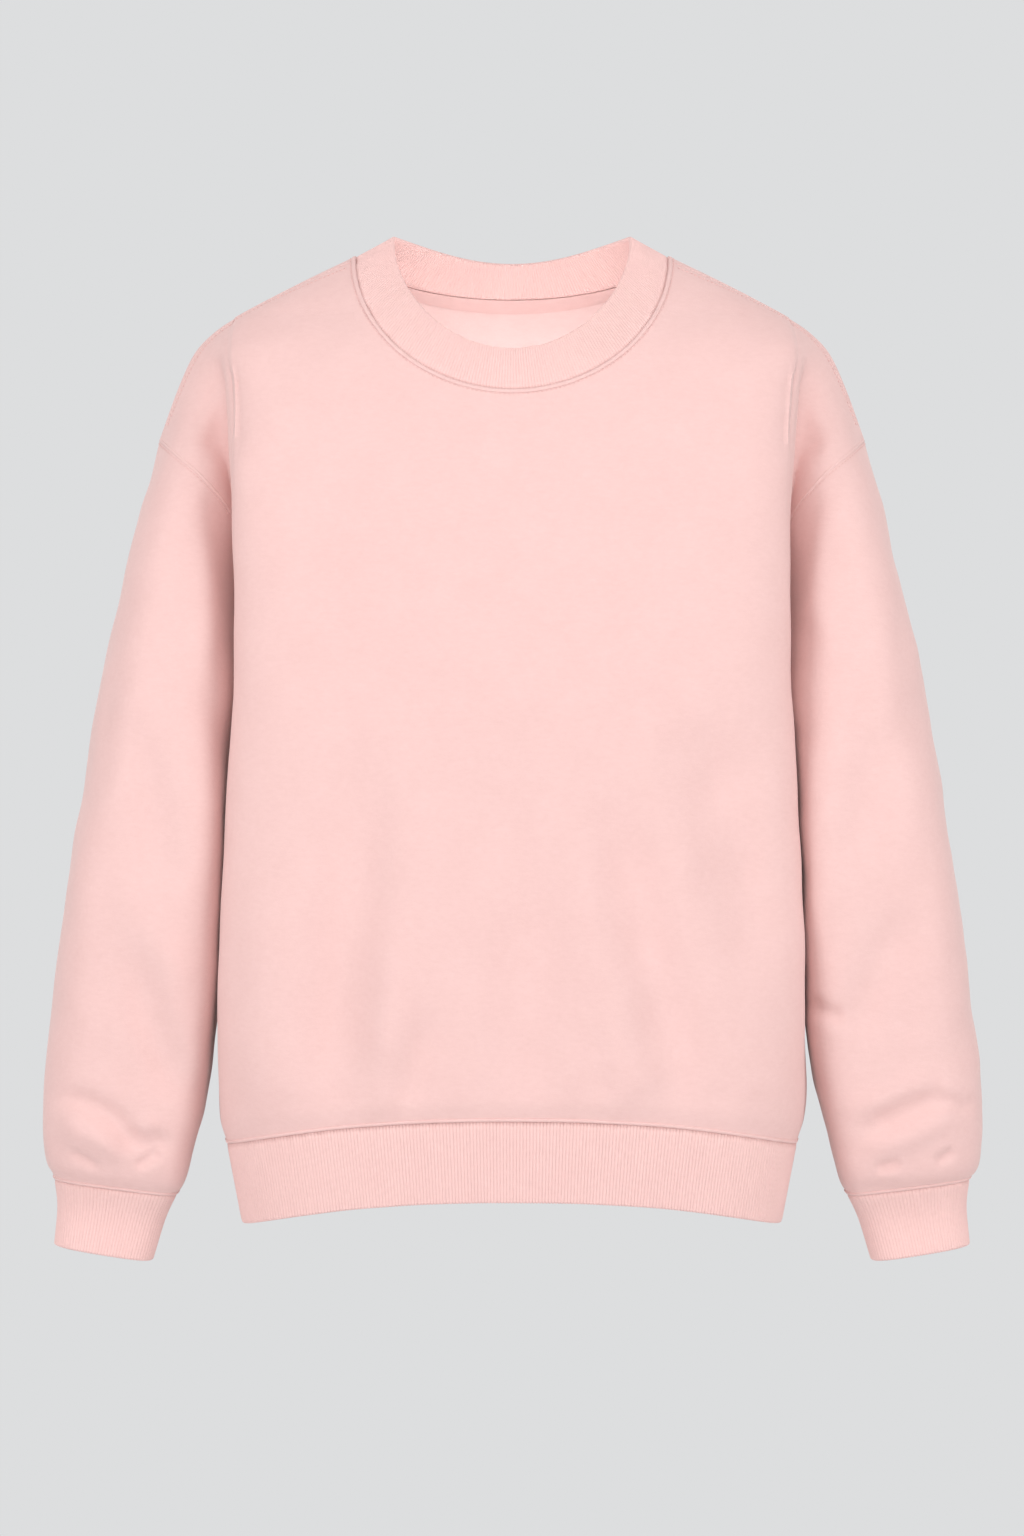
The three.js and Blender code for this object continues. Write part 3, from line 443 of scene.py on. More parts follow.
def upper_rows(panel, down):
    tops, shares = inner_lines(panel)
    inner = upper_inner(panel, tops, shares, down)
    near_top = shoulder_point(3.0)[None]
    before = upper_inner(panel, near_top, np.array([BEFORE_LIP]), down)[:, 0]
    lines = [side_line(panel, down, name) for name in ("lip", "crease", "seam")]
    strips = side_strips(before, *lines)
    lip_t = np.arange(1, LIP_STRIPS + 1) / LIP_STRIPS
    crease_t = np.arange(1, CREASE_STRIPS + 1) / CREASE_STRIPS
    ridge = shoulder_point(np.concatenate([4 + 2 * lip_t, 6 + 2 * crease_t]))
    start = down == 0
    mend = (ridge - strips[start][0])[None] * (1 - smooth(down / 0.15))[:, None, None]
    return np.concatenate([inner, strips + mend], axis=1)


def hem_seam_z(panel, share):
    return lerp(panel["hem_z"], HEM["side_z"], share ** HEM["power"])


def lower_rows(panel, share):
    _, shares = inner_lines(panel)
    share = share[:, None]
    z = lerp(UNDERARM_Z, hem_seam_z(panel, shares)[None], share)
    form_z = lerp(UNDERARM_Z, HEM["side_z"], share)
    x = shares[None] * body(form_z, panel["lip_x"])
    inner = xyz(x, panel_y(panel, x, form_z + 0 * x), z)
    side_z = lerp(UNDERARM_Z, HEM["side_z"], share[:, 0])
    lip = xyz(body(side_z, panel["lip_x"]), body(side_z, panel["lip_y"]), side_z)
    seam = xyz(body(side_z, "side_x"), body(side_z, "side_y"), side_z)
    crease = lerp(lip, seam, np.array([0.35, 0.44, 0.5]))
    inner[:, -1] = lip
    before_x = BEFORE_LIP * lip[:, 0]
    before = xyz(before_x, panel_y(panel, before_x, side_z), side_z)
    return np.concatenate([inner, side_strips(before, lip, crease, seam)], axis=1)


def waves(points, seed, scale, count=14):
    """A smooth unevenness from -1 to 1 or so, the same on every run."""
    rng = np.random.default_rng(seed)
    total = np.zeros(points.shape[:-1])
    for _ in range(count):
        way = unit(rng.normal(size=3)) * 2 * math.pi / (scale * rng.uniform(0.7, 1.6))
        total += np.sin(points @ way + rng.uniform(0, 2 * math.pi))
    return total / math.sqrt(count)


def unevenness(rows, seed, look):
    broad = look["broad_depth"] * waves(rows, seed, look["broad"])
    return broad + look["fine_depth"] * waves(rows, seed + 20, look["fine"])


def normals_of(rows, closed=False):
    """Outward normals of a grid whose rows run to the wearer's left and climb."""
    if closed:
        along = np.roll(rows, -1, axis=1) - np.roll(rows, 1, axis=1)
    else:
        along = np.gradient(rows, axis=1)
    return unit(np.cross(along, np.gradient(rows, axis=0)))


def fold_field(x, z, folds, gain):
    """How far folds push in at each place of the front view."""
    total = np.zeros_like(x)
    t = np.linspace(0, 1, 25)
    for i in range(len(folds["x0"])):
        f = {name: column[i] for name, column in folds.items()}
        f["width"] *= gain["width"]
        f["depth"] *= gain["depth"]
        px = (1 - t) ** 2 * f["x0"] + 2 * t * (1 - t) * f["x1"] + t * t * f["x2"]
        pz = (1 - t) ** 2 * f["z0"] + 2 * t * (1 - t) * f["z1"] + t * t * f["z2"]
        reach = 3.2 * f["width"]
        near = (x > px.min() - reach) & (x < px.max() + reach)
        near &= (z > pz.min() - reach) & (z < pz.max() + reach)
        dx, dz = x[near][:, None] - px, z[near][:, None] - pz
        best = np.argmin(dx * dx + dz * dz, axis=1)
        pick = np.arange(len(best)), best
        run_x, run_z = np.gradient(px)[best], np.gradient(pz)[best]
        length = np.hypot(run_x, run_z)
        off = (dx[pick] * run_z - dz[pick] * run_x) / length
        past = (dx[pick] * run_x + dz[pick] * run_z) / length
        along = t[best] + past / (length * len(t))
        fade = smooth((along + 0.12) / 0.45) * smooth((1.12 - along) / 0.35)
        trough = np.exp(-((off / f["width"]) ** 2))
        beside = np.exp(-((np.abs(off) / f["width"] - 1.7) ** 2)) * (off * f["lean"] > 0)
        total[near] += f["depth"] * fade * (trough - 0.55 * abs(f["lean"]) * beside)
    return total


def mirrored(rows):
    left = rows[:, :0:-1] * np.array([-1, 1, 1])
    return np.concatenate([left, rows], axis=1)


def panel_rows(panel):
    """A panel's outer surface, rows from the hem up to the shoulder and neck."""
    up = np.linspace(1, 0, ARMHOLE_ROWS + 1)
    down = 1 - np.linspace(0, 1, LOWER_ROWS + 1)
    low = lower_rows(panel, ease_to_hem(down[:-1]))
    rows = mirrored(np.concatenate([low, upper_rows(panel, ease_to_neck(up))]))
    normals = normals_of(rows) * -panel["sign"]
    facing = smooth(normals[..., 1] * panel["sign"] * 1.6 - 0.15)
    push = fold_field(rows[..., 0], rows[..., 2], panel["folds"], PANEL_FOLDS) * facing
    uneven = unevenness(rows, panel["seed"], PANEL_UNEVEN)
    top = rows[-1]
    still = smooth(np.linalg.norm(rows - top[None], axis=-1) / STILL["top"])
    still *= smooth((rows[..., 2] - rows[0, :, 2][None] + 3) / STILL["hem"]) * 0.75 + 0.25
    side = np.minimum(edge_distance(rows), STILL["side"]) / STILL["side"]
    return rows + normals * ((uneven - push) * still * smooth(side * 1.4))[..., None]


def edge_distance(rows):
    """How far each point is from the nearer side edge, along its row."""
    steps = np.linalg.norm(np.diff(rows, axis=1), axis=-1)
    run = np.concatenate([np.zeros((len(rows), 1)), np.cumsum(steps, axis=1)], axis=1)
    return np.minimum(run, run[:, -1:] - run)


def ease_to_hem(share):
    """Rows closer together near the hem."""
    return 1 - (1 - share) ** 1.25


def ease_to_neck(down):
    """Rows closer together near the shoulder and neck."""
    return down**1.5


def oval(ring, index, turn, square=2.0):
    """A ring round a sleeve. turn starts at its outer point and goes round the front."""
    across = np.cos(turn)
    x = lerp(ring(index, "inner_x"), ring(index, "outer_x"), (1 + across) / 2)
    z = lerp(ring(index, "inner_z"), ring(index, "outer_z"), (1 + across) / 2)
    front = np.sin(turn) > 0
    corner = lerp(INNER_CORNER["top"], INNER_CORNER["low"], smooth((index - 1.5) / 3)) * (square - 2)
    square = np.where(front & (across < 0), square + corner, square)
    fullness = (1 - np.minimum(1, np.abs(across)) ** square) ** (1 / square)
    depth = ring(index, "half_depth") * fullness * np.sign(np.sin(turn))
    return xyz(x, ring(index, "mid_y") - depth, z)


def armhole(front, back):
    """The +X armhole, from the shoulder round the front to the underarm and up the back."""
    return np.concatenate([front[LOWER_ROWS:, -1][::-1], back[LOWER_ROWS + 1 : -1, -1]])


def sleeve_rows(loop, folds, seed):
    top, low = loop[0], loop[ARMHOLE_ROWS]
    fall = (low - top) * np.array([1, 0, 1])
    share = np.clip((loop - top) @ fall / (fall @ fall), 0, 1)
    seam_turn = np.arccos(1 - 2 * share)
    seam_turn[ARMHOLE_ROWS + 1 :] = 2 * math.pi - seam_turn[ARMHOLE_ROWS + 1 :]
    even = 2 * math.pi * np.arange(len(loop)) / len(loop)
    last = len(SLEEVE["index"]) - 1
    index = (last * np.linspace(0, 1, SLEEVE_ROWS + 1))[:, None]
    turn = lerp(seam_turn[None], even[None], smooth(index / 6))
    offset = loop - oval(sleeve_ring, 0.0, seam_turn, SQUARE_CAP)
    square = lerp(SQUARE_CAP, SQUARE_SLEEVE, smooth((index - 0.8) / 2.5))
    pull = (1 - np.minimum(1, index / SEAM_PULL)) ** 2
    rows = oval(sleeve_ring, index, turn, square) + offset[None] * pull[..., None]
    normals = normals_of(rows, closed=True)
    fade = smooth(index / 0.8) * smooth((last - index) / 0.5)
    push = 0
    for side in (-1, 1):
        chosen = folds["turns"] == side
        part = {name: column[chosen] for name, column in folds.items()}
        facing = smooth(normals[..., 1] * side * 1.5 + 0.1)
        push = push + fold_field(rows[..., 0], rows[..., 2], part, SLEEVE_FOLDS) * facing
    uneven = unevenness(rows, seed, SLEEVE_UNEVEN)
    return rows + normals * ((uneven - push) * fade)[..., None]


def grid_faces(height, width, closed):
    """Quads of a grid with height rows of width points."""
    i, j = np.meshgrid(np.arange(height - 1), np.arange(width if closed else width - 1),
                       indexing="ij")
    n = (j + 1) % width
    quads = np.stack([i * width + j, i * width + n, (i + 1) * width + n, (i + 1) * width + j], -1)
    return quads.reshape(-1, 4)


def add_mesh(name, points, quads, material, lining=None, lined=None):
    mesh = bpy.data.meshes.new(name)
    mesh.vertices.add(len(points))
    mesh.vertices.foreach_set("co", (points * MM).astype(np.float32).ravel())
    mesh.loops.add(quads.size)
    mesh.loops.foreach_set("vertex_index", quads.astype(np.int32).ravel())
    mesh.polygons.add(len(quads))
    mesh.polygons.foreach_set("loop_start", np.arange(0, quads.size, 4, dtype=np.int32))
    mesh.polygons.foreach_set("use_smooth", np.ones(len(quads), dtype=bool))
    mesh.update(calc_edges=True)
    mesh.validate()
    mesh.materials.append(material)
    if lining:
        mesh.materials.append(lining)
        mesh.polygons.foreach_set("material_index", lined.astype(np.int32))
    made = bpy.data.objects.new(name, mesh)
    bpy.context.scene.collection.objects.link(made)
    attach(made, "root")
    return made


def wall(name, rows, material, lining=None, closed=False, flip=False, thickness=CLOTH):
    """A cloth piece: the outer grid, the same grid moved in, and its edges."""
    normals = normals_of(rows, closed) * (-1 if flip else 1)
    inner = rows - normals * thickness
    height, width = rows.shape[:2]
    count = height * width
    outside = grid_faces(height, width, closed)
    faces = [outside, outside[:, ::-1] + count]
    j = np.arange(width if closed else width - 1)
    n = (j + 1) % width
    top = (height - 1) * width
    faces.append(np.stack([j + count, n + count, n, j], -1))
    faces.append(np.stack([top + j, top + n, top + n + count, top + j + count], -1))
    if not closed:
        i = np.arange(height - 1) * width
        k = i + width - 1
        faces.append(np.stack([i + count, i, i + width, i + width + count], -1))
        faces.append(np.stack([k, k + count, k + width + count, k + width], -1))
    quads = np.concatenate(faces)
    if flip:
        quads = quads[:, ::-1]
    points = np.concatenate([rows.reshape(-1, 3), inner.reshape(-1, 3)])
    lined = np.arange(len(quads)) // len(outside) == 1
    made = add_mesh(name, points, quads, material, lining, lined)
    made.data.set_sharp_from_angle(angle=math.radians(58))
    return made


def run_of(line):
    """How far along a line each of its points is."""
    return np.concatenate([[0], np.cumsum(np.linalg.norm(np.diff(line, axis=0), axis=1))])


def rib_band(name, rings, ribs, rise, material, flip=False, seed=1):
    """Rib knit folded double. rings run from the seam to the fold, each with the same columns."""
    count = ribs * RIB_STEPS
    shape = {"t": np.linspace(0, 1, len(rings))}
    flat = np.stack(rings).reshape(len(rings), -1)
    t = np.linspace(0, 1, RIB_ROWS)
    path = np.empty((RIB_ROWS, flat.shape[1]))
    for c in range(flat.shape[1]):
        shape["v"] = flat[:, c]
        path[:, c] = through(shape, "t")(t, "v")
    path = path.reshape(RIB_ROWS, -1, 3)
    path = np.stack([column_resample(row, path[0], count) for row in path])
    along = np.roll(path, -1, axis=1) - np.roll(path, 1, axis=1)
    down = np.gradient(path, axis=0)
    out = unit(np.cross(down, along)) * (-1 if flip else 1)
    way = unit(down[-1])
    wale = RIB_PROFILE[np.arange(count) % RIB_STEPS] * rise
    half = RIB_CLOTH / 2
    height = np.linalg.norm(path[-1] - path[0], axis=-1).mean()
    under = np.exp(-t * height / RIB_TUCK["reach"]) * RIB_TUCK["depth"]
    fading = np.exp(-t * height / RIB_PUCKER["reach"])[:, None]
    pucker = fading * waves(path[0], seed, RIB_PUCKER["scale"])[None] * RIB_PUCKER["depth"]
    outer = path + out * (wale[None] + pucker - under[:, None] - RIB_SINK)[..., None]
    inner = path[::-1] - out[::-1] * (RIB_CLOTH + wale[None])[..., None]
    arc = []
    middle = path[-1] - out[-1] * half
    for a in np.linspace(0, math.pi, RIB_FOLD_STEPS)[1:-1]:
        turned = out[-1] * math.cos(a) + way * math.sin(a)
        arc.append(middle + turned * (half + wale)[:, None])
    loop = np.concatenate([outer, np.stack(arc), inner])
    shut = np.concatenate([loop, loop[:1]])
    quads = grid_faces(len(shut), count, True)
    quads = np.where(quads >= len(loop) * count, quads - len(loop) * count, quads)
    if not flip:
        quads = quads[:, ::-1]
    return add_mesh(name, loop.reshape(-1, 3), quads, material)


def column_resample(row, guide, count):
    """A row's points where the guide ring is spread evenly, so that ribs stay in line."""
    line = np.concatenate([guide, guide[:1]])
    run = run_of(line)
    want = np.linspace(0, run[-1], count + 1)[:count]
    ring = np.concatenate([row, row[:1]])
    return np.stack([np.interp(want, run, ring[:, i]) for i in range(3)], -1)


def collar_rings(front, back):
    middle_front, middle_back = front.shape[1] // 2, back.shape[1] // 2
    n = NECK_STRIPS
    front_seam = front[-1, middle_front - n : middle_front + n + 1]
    back_seam = back[-1, middle_back - n : middle_back + n + 1][::-1][1:-1]

    def top_of(turn, side, drop, power, far_y):
        depth = np.maximum(np.cos(turn), 0)
        x = side * COLLAR["half_width"] * np.sin(turn)
        return xyz(x, lerp(SHOULDER_Y, far_y, depth), COLLAR["rise"] - drop * depth**power)

    half = np.append(neck_turns(), 1) * math.pi / 2
    turns = np.concatenate([-half[:0:-1], half])
    upper = np.concatenate([
        top_of(turns, 1, 88.8, 1.12, -70),
        top_of(turns[1:-1], -1, 16, 2.8, 56),
    ])
    seam = np.concatenate([front_seam, back_seam])
    return [eased_corners(seam, 8), eased_corners(upper, 36)]


def eased(ring, passes, weight=1.0):
    """A closed ring of points or directions with its kinks smoothed out."""
    for _ in range(passes):
        soft = (np.roll(ring, 1, 0) + 2 * ring + np.roll(ring, -1, 0)) / 4
        ring = lerp(ring, soft, weight)
    return ring


def eased_corners(ring, passes):
    """A neck ring rounded where its front and back halves meet at the shoulders."""
    place = np.arange(len(ring))
    far = np.minimum(np.minimum(place, len(ring) - place), np.abs(place - 2 * NECK_STRIPS))
    return eased(ring, passes, np.exp(-((far / 6.0) ** 2))[:, None])


def hem_rings(front, back):
    seam = np.concatenate([front[0], back[0, 1:-1][::-1]])
    low = seam.copy()
    split = front.shape[1]
    for part, key, lip_key, edge_y, middle_y in (
        (slice(0, split), "front_y", "lip", HEM_LOW["lip_y"], HEM_LOW["front_y"]),
        (slice(split, None), "back_y", "back_lip", HEM_LOW["back_lip_y"], HEM_LOW["back_y"]),
    ):
        lip_x, lip_y = body(HEM["side_z"], lip_key + "_x"), body(HEM["side_z"], lip_key + "_y")
        seam_middle = body(HEM["side_z"], key)
        x, y, z = seam[part].T
        deep = (y - lip_y) / (seam_middle - lip_y)
        low_y = np.where(deep > 0, lerp(edge_y, middle_y, deep), y * edge_y / lip_y)
        low[part] = xyz(x / lip_x * HEM["half_width"], low_y, z - HEM["height"])
    return [seam, low]


def cuff_rings(seam):
    turn = 2 * math.pi * np.arange(len(seam)) / len(seam)
    return [seam, oval(cuff_ring, 1.0, turn, SQUARE_SLEEVE), oval(cuff_ring, 2.0, turn, 2.5)]


def tube(name, line, normals, width, height, material, closed=False, sides=8):
    """A low rounded welt along a line on the cloth."""
    tangent = (np.roll(line, -1, 0) - np.roll(line, 1, 0)) if closed else np.gradient(line, axis=0)
    across = unit(np.cross(unit(tangent), normals))
    up = unit(normals)
    turns = 2 * math.pi * np.arange(sides) / sides
    rings = [
        line + across * (width / 2 * math.cos(a)) + up * (height * math.sin(a)) for a in turns
    ]
    grid = np.stack(rings + rings[:1])
    quads = grid_faces(sides + 1, len(line), closed)
    quads = np.where(quads >= sides * len(line), quads - sides * len(line), quads)
    return add_mesh(name, grid[:-1].reshape(-1, 3), quads[:, ::-1], material)


def stitches(name, line, normals, material, length=STITCH["length"], gap=STITCH["gap"]):
    """A row of short threads along a line on the cloth."""
    run = run_of(line)
    starts = np.arange(0.5, run[-1] - length, length + gap)
    local = np.array([0, 0.12, 0.5, 0.88, 1])
    lift = np.array([-0.5, 0.25, 0.45, 0.25, -0.5]) * STITCH["thickness"]
    thick = np.array([0.35, 0.85, 1, 0.85, 0.35]) * STITCH["thickness"] / 2
    sides = 6
    points = []
    for s in starts:
        want = s + local * length
        middle = np.stack([np.interp(want, run, line[:, i]) for i in range(3)], -1)
        up = unit(np.stack([np.interp(want, run, normals[:, i]) for i in range(3)], -1))
        across = unit(np.cross(np.gradient(middle, axis=0), up))
        middle = middle + up * lift[:, None]
        for a in 2 * math.pi * np.arange(sides) / sides:
            turned = across * math.cos(a) + up * math.sin(a)
            points.append(middle + turned * thick[:, None])
    height = len(local)
    base = grid_faces(sides + 1, height, False)
    base = np.where(base >= sides * height, base - sides * height, base)
    quads = [base + k * sides * height for k in range(len(starts))]
    return add_mesh(name, np.concatenate(points), np.concatenate(quads), material)


def shader(name):
    material = bpy.data.materials.new(name)
    material.use_nodes = True
    nodes, links = material.node_tree.nodes, material.node_tree.links
    nodes.clear()
    out = nodes.new("ShaderNodeOutputMaterial")
    surface = nodes.new("ShaderNodeBsdfPrincipled")
    links.new(surface.outputs[0], out.inputs[0])
    return material, nodes, links, surface


def noise(nodes, links, where, scale, detail=2.0, roughness=0.5, stretch=None):
    made = nodes.new("ShaderNodeTexNoise")
    made.inputs["Scale"].default_value = scale
    made.inputs["Detail"].default_value = detail
    made.inputs["Roughness"].default_value = roughness
    if stretch:
        mapping = nodes.new("ShaderNodeMapping")
        mapping.inputs["Scale"].default_value = stretch
        links.new(where, mapping.inputs[0])
        where = mapping.outputs[0]
    links.new(where, made.inputs["Vector"])
    return made.outputs["Fac"]


def mixed(nodes, links, first, second, share):
    made = nodes.new("ShaderNodeMix")
    made.data_type = "FLOAT"
    made.inputs[0].default_value = share
    links.new(first, made.inputs[2])
    links.new(second, made.inputs[3])
    return made.outputs[0]


def cloth_material(name, dark, light, fine, bump, sheen):
    """Matte cotton knit: fine fuzz, soft mottling and a faint nap."""
    material, nodes, links, surface = shader(name)
    where = nodes.new("ShaderNodeTexCoord").outputs["Object"]
    fuzz = noise(nodes, links, where, fine, 3.0, 0.6, (0.8, 1.0, 1.6))
    flecks = noise(nodes, links, where, fine / 3.4, 2.0, 0.55, (0.6, 1.0, 1.5))
    mottle = noise(nodes, links, where, 34, 3.0, 0.55)
    shade = mixed(nodes, links, mixed(nodes, links, flecks, fuzz, 0.45), mottle, 0.28)
    ramp = nodes.new("ShaderNodeValToRGB")
    ramp.color_ramp.elements[0].position = 0.3
    ramp.color_ramp.elements[1].position = 0.7
    ramp.color_ramp.elements[0].color = (*dark, 1)
    ramp.color_ramp.elements[1].color = (*light, 1)
    links.new(shade, ramp.inputs[0])
    links.new(ramp.outputs[0], surface.inputs["Base Color"])
    relief = nodes.new("ShaderNodeBump")
    relief.inputs["Strength"].default_value = bump
    relief.inputs["Distance"].default_value = 0.0006
    links.new(mixed(nodes, links, fuzz, flecks, 0.5), relief.inputs["Height"])
    links.new(relief.outputs[0], surface.inputs["Normal"])
    surface.inputs["Roughness"].default_value = 0.92
    surface.inputs["Specular IOR Level"].default_value = 0.2
    surface.inputs["Sheen Weight"].default_value = sheen
    surface.inputs["Sheen Roughness"].default_value = 0.45
    surface.inputs["Sheen Tint"].default_value = (1, 0.86, 0.83, 1)
    return material


def plain_material(name, colour, roughness):
    material, nodes, links, surface = shader(name)
    surface.inputs["Base Color"].default_value = (*colour, 1)
    surface.inputs["Roughness"].default_value = roughness
    surface.inputs["Specular IOR Level"].default_value = 0.1
    return material


def dress(node):
    """Hides the CAD part that a piece stands for."""
    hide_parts(node)


def trim(piece):
    return piece


def make_garment():
    fleece = cloth_material("fleece_cloth", (0.735, 0.478, 0.452), (0.785, 0.53, 0.505),
                            950, 0.35, 0.45)
    # The rib cloth is painted lighter than the body cloth, to make up for the shade that falls
    # between its ribs.
    rib_painted_lighter = cloth_material("rib_cloth", (0.79, 0.512, 0.484), (0.84, 0.562, 0.532),
                            1100, 0.25, 0.4)
    inside = cloth_material("fleece_inside", (0.78, 0.545, 0.52), (0.83, 0.605, 0.58),
                            700, 0.6, 0.4)
    thread = cloth_material("thread", (0.73, 0.46, 0.435), (0.79, 0.52, 0.49), 1500, 0.2, 0.15)

    front, back = panel_rows(FRONT), panel_rows(BACK)
    # the panels share the seam points of the front
    share_seams(front, back)
    loop = armhole(front, back)
    left = sleeve_rows(loop, LEFT_SLEEVE_FOLDS, 41)
    flip = np.array([-1, 1, 1])
    right_loop = np.concatenate([front[LOWER_ROWS:, 0][::-1], back[LOWER_ROWS + 1 : -1, 0]]) * flip
    right = sleeve_rows(right_loop, RIGHT_SLEEVE_FOLDS, 47) * flip

    pieces = {
        "front": wall("front_body", front, fleece, inside),
        "back": wall("back_body", back, fleece, inside, flip=True),
        "sleeve_left": wall("left_sleeve", left, fleece, inside, closed=True),
        "sleeve_right": wall("right_sleeve", right, fleece, inside, closed=True, flip=True),
    }
    collar = collar_rings(front, back)
    pieces["collar"] = rib_band("collar_rib", collar, RIBS["collar"], RIB_RISE["collar"], rib_painted_lighter,
                                flip=True, seed=61)
    pieces["hem_band"] = rib_band("hem_rib", hem_rings(front, back), RIBS["hem"], RIB_RISE["hem"],
                                  rib_painted_lighter, seed=67)
    pieces["cuff_left"] = rib_band("left_cuff", cuff_rings(left[-1]), RIBS["cuff"],
                                   RIB_RISE["cuff"], rib_painted_lighter, seed=71, flip=True)
    mirrored_cuff = [ring * flip for ring in cuff_rings(right[-1] * flip)]
    pieces["cuff_right"] = rib_band("right_cuff", mirrored_cuff, RIBS["cuff"], RIB_RISE["cuff"],
                                    rib_painted_lighter, seed=73)
    pieces["neck_tape"] = make_tape(back, fleece, thread)
    make_seams(front, back, left, right, fleece, thread)

    cut = {
        "front": ("fleece", (0.60, 0.66), 0.34),
        "back": ("fleece", (0.60, 0.66), 0.33),
        "sleeve_left": ("fleece", (0.46, 0.50), 0.167),
        "sleeve_right": ("fleece", (0.46, 0.50), 0.167),
        "collar": ("rib", (0.58, 0.034), None),
        "hem_band": ("rib", (1.01, 0.057), None),
        "cuff_left": ("rib", (0.19, 0.048), None),
        "cuff_right": ("rib", (0.19, 0.048), None),
        "neck_tape": ("fleece", (0.26, 0.0105), None),
    }
    for node, (slot, flat, area) in cut.items():
        dress(node)


def share_seams(front, back):
    """Gives both panels the same side, shoulder and armhole points."""
    shoulder = (front.shape[1] - 1) // 2 - NECK_STRIPS
    for columns in (slice(0, shoulder + 1), slice(-shoulder - 1, None)):
        back[-1, columns] = front[-1, columns]
    for column in (0, -1):
        back[: LOWER_ROWS + 1, column] = front[: LOWER_ROWS + 1, column]


def make_tape(back, material, thread):
    """The strip that covers the neck seam inside the back."""
    middle = back.shape[1] // 2
    columns = slice(middle - NECK_STRIPS + 1, middle + NECK_STRIPS)
    normals = -normals_of(back)
    inside = back - normals * (CLOTH + TAPE["off"])
    line = inside[-1, columns]
    down = unit(inside[-4, columns] - inside[-1, columns])
    heights = np.linspace(TAPE["below"] + TAPE["width"], TAPE["below"] - TAPE["tuck"], 8)
    rows = np.stack([line + down * h for h in heights])
    bulge = np.sin(np.linspace(0, math.pi, 8)) ** 0.6 * 0.5
    inward = -normals[-1, columns]
    rows = rows + inward[None] * bulge[:, None, None]
    trim(stitches("tape_stitches", rows[1] + inward * 0.15, inward, thread))
    return wall("neck_tape_strip", rows, material, flip=True, thickness=TAPE["thickness"])


def make_seams(front, back, left, right, fleece, thread):
    """The raised seam allowances and the rows of thread beside the seams."""
    middle, n = front.shape[1] // 2, NECK_STRIPS
    body_cloth = [(front, False), (back[:, ::-1], False)]
    neck = np.concatenate([front[-1, middle - n : middle + n + 1],
                           back[-1, middle - n : middle + n + 1][::-1][1:-1]])
    seam_line(neck, "neck", fleece, thread, NECK_RIDGE, 1, *body_cloth)
    hem = np.concatenate([front[0], back[0, 1:-1][::-1]])
    seam_line(hem, "hem", fleece, thread, HEM_RIDGE, -1, *body_cloth)
    out = normals_of(front)
    row, sewn_row = SHOULDER_RIDGE["row"], SHOULDER_RIDGE["sewn_row"]
    for name, columns in (("left", slice(middle + n + 2, -2)), ("right", slice(2, middle - n - 1))):
        welt = tube(name + "_shoulder_ridge", front[-row, columns], out[-row, columns],
                    SHOULDER_RIDGE["width"], SHOULDER_RIDGE["height"], fleece)
        trim(welt)
        sewn = stitches(name + "_shoulder_stitches", front[-sewn_row, columns],
                        out[-sewn_row, columns], thread)
        trim(sewn)
    for name, sleeve, sign in (("left", left, 1), ("right", right, -1)):
        cloth = (sleeve if sign > 0 else sleeve[:, ::-1], True)
        seam_line(sleeve[0], name + "_armhole", fleece, thread, ARM_RIDGE, -sign, cloth)
        seam_line(sleeve[-1], name + "_cuff", fleece, thread, HEM_RIDGE, sign, cloth)


def seam_line(line, name, fleece, thread, look, side, *cloth):
    """One closed seam: its raised allowance and the thread that holds it down."""
    surface = tree_of(cloth)
    line = eased(column_resample(line, line, round(run_of(line)[-1] / SEAM_STEP)), 4)
    _, normals = on_cloth(surface, line)
    tangent = np.roll(line, -1, 0) - np.roll(line, 1, 0)
    across = unit(np.cross(unit(tangent), normals)) * side
    ridge, up = on_cloth(surface, line + across * (look["width"] / 2 + look["off"]))
    made = tube(name + "_seam_ridge", eased(ridge, 3), up, look["width"], look["height"], fleece,
                closed=True)
    trim(made)
    if look["sewn"]:
        sewn, up = on_cloth(surface, line + across * look["sewn"])
        sewn = np.concatenate([sewn, sewn[:1]])
        up = np.concatenate([up, up[:1]])
        trim(stitches(name + "_stitches", sewn, up, thread))


def tree_of(cloth):
    """A lookup of the nearest place on one or more outer grids."""
    points, faces, count = [], [], 0
    for rows, closed in cloth:
        points.append(rows.reshape(-1, 3))
        faces.append(grid_faces(rows.shape[0], rows.shape[1], closed) + count)
        count += len(points[-1])
    return BVHTree.FromPolygons(np.concatenate(points).tolist(), np.concatenate(faces).tolist())


def on_cloth(tree, line):
    """The places on the cloth nearest to a ring of points, and its outward directions there."""
    hits = [tree.find_nearest(Vector(p)) for p in line.tolist()]
    places = np.array([hit[0] for hit in hits])
    normals = np.array([hit[1] for hit in hits])
    outward = np.sum(normals * (places - places.mean(axis=0)), axis=1)
    return places, unit(eased(normals * np.sign(outward.sum()), 8))


def make_stage():
    """A wide pale floor below the camera's view, and evenly lit paper behind."""
    xs, ys = np.linspace(-5200, 5200, 21), np.linspace(-5200, 2250, 17)
    rows = np.stack([xyz(xs, y, -1350.0) for y in ys])
    floor = add_mesh("floor", rows.reshape(-1, 3), grid_faces(17, 21, False),
                     plain_material("floor_paint", (0.78, 0.785, 0.79), 0.9))
    xs, zs = np.linspace(-5200, 5200, 21), np.linspace(-4200, 3600, 17)
    rows = np.stack([xyz(xs, 3800.0, z) for z in zs])
    paper = add_mesh("backdrop", rows.reshape(-1, 3), grid_faces(17, 21, False), lit_paper())


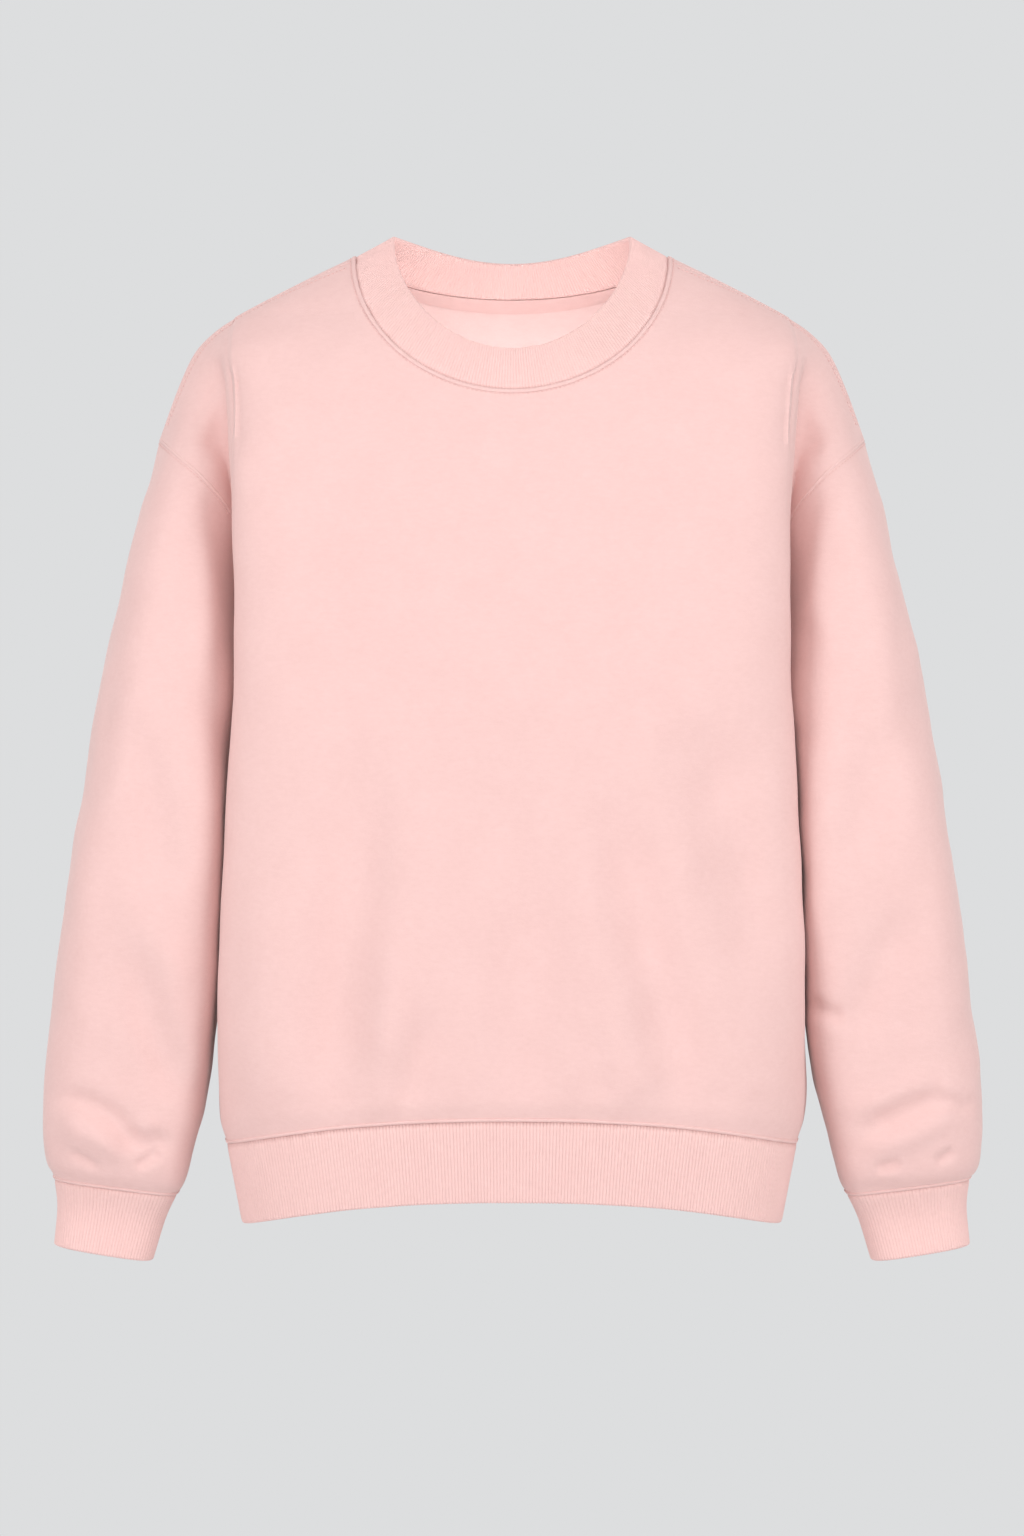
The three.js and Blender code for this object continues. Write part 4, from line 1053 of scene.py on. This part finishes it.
def lit_paper():
    """Evenly lit pale grey paper."""
    material = bpy.data.materials.new("lit_paper")
    material.use_nodes = True
    nodes, links = material.node_tree.nodes, material.node_tree.links
    nodes.clear()
    glow = nodes.new("ShaderNodeEmission")
    glow.inputs[0].default_value = (0.723, 0.73, 0.737, 1)
    links.new(glow.outputs[0], nodes.new("ShaderNodeOutputMaterial").inputs[0])
    return material


def area_light(name, place, aim, size, power, colour=(1, 1, 1)):
    data = bpy.data.lights.new(name, "AREA")
    data.shape = "RECTANGLE"
    data.size, data.size_y = (v * MM for v in size)
    data.energy = power
    data.color = colour
    aim_light(data, place, aim)


def aim_light(data, place, aim):
    made = bpy.data.objects.new(data.name, data)
    made.location = [v * MM for v in place]
    way = np.array(aim, float) - np.array(place, float)
    made.rotation_mode = "QUATERNION"
    made.visible_camera = False
    made.rotation_quaternion = Vector(way).to_track_quat("-Z", "Y")
    bpy.context.scene.collection.objects.link(made)


def make_light():
    world = bpy.data.worlds.new("soft_room")
    world.use_nodes = True
    sky = world.node_tree.nodes["Background"]
    sky.inputs[0].default_value = (0.53, 0.534, 0.539, 1)
    sky.inputs[1].default_value = 1.0
    bpy.context.scene.world = world
    area_light("front_panel", (0, -3100, 350), (0, 0, -300), (1400, 1000), 17.5, (1, 0.995, 0.99))
    area_light("top_panel", (0, -1500, 1900), (0, 0, -100), (1600, 900), 19)
    area_light("left_panel", (-2200, -1900, -350), (-150, 0, -450), (1200, 2000), 27)
    area_light("right_panel", (2200, -1900, -350), (150, 0, -450), (1200, 2000), 27)
    area_light("inner_panel", (0, -20, -140), (0, 105, -45), (150, 40), 0.19)


def make_camera():
    data = bpy.data.cameras.new("photo_camera")
    data.sensor_width = 36
    data.lens = data.sensor_width * CAMERA["distance"] / CAMERA["frame_height"]
    data.clip_end = 50
    camera = bpy.data.objects.new("photo_camera", data)
    camera.location = (0, -CAMERA["distance"] * MM, CAMERA["height"] * MM)
    camera.rotation_euler = (math.pi / 2, 0, 0)
    bpy.context.scene.collection.objects.link(camera)
    bpy.context.scene.camera = camera


make_camera()
make_light()
make_stage()
make_garment()
bpy.context.scene.view_settings.view_transform = "Standard"
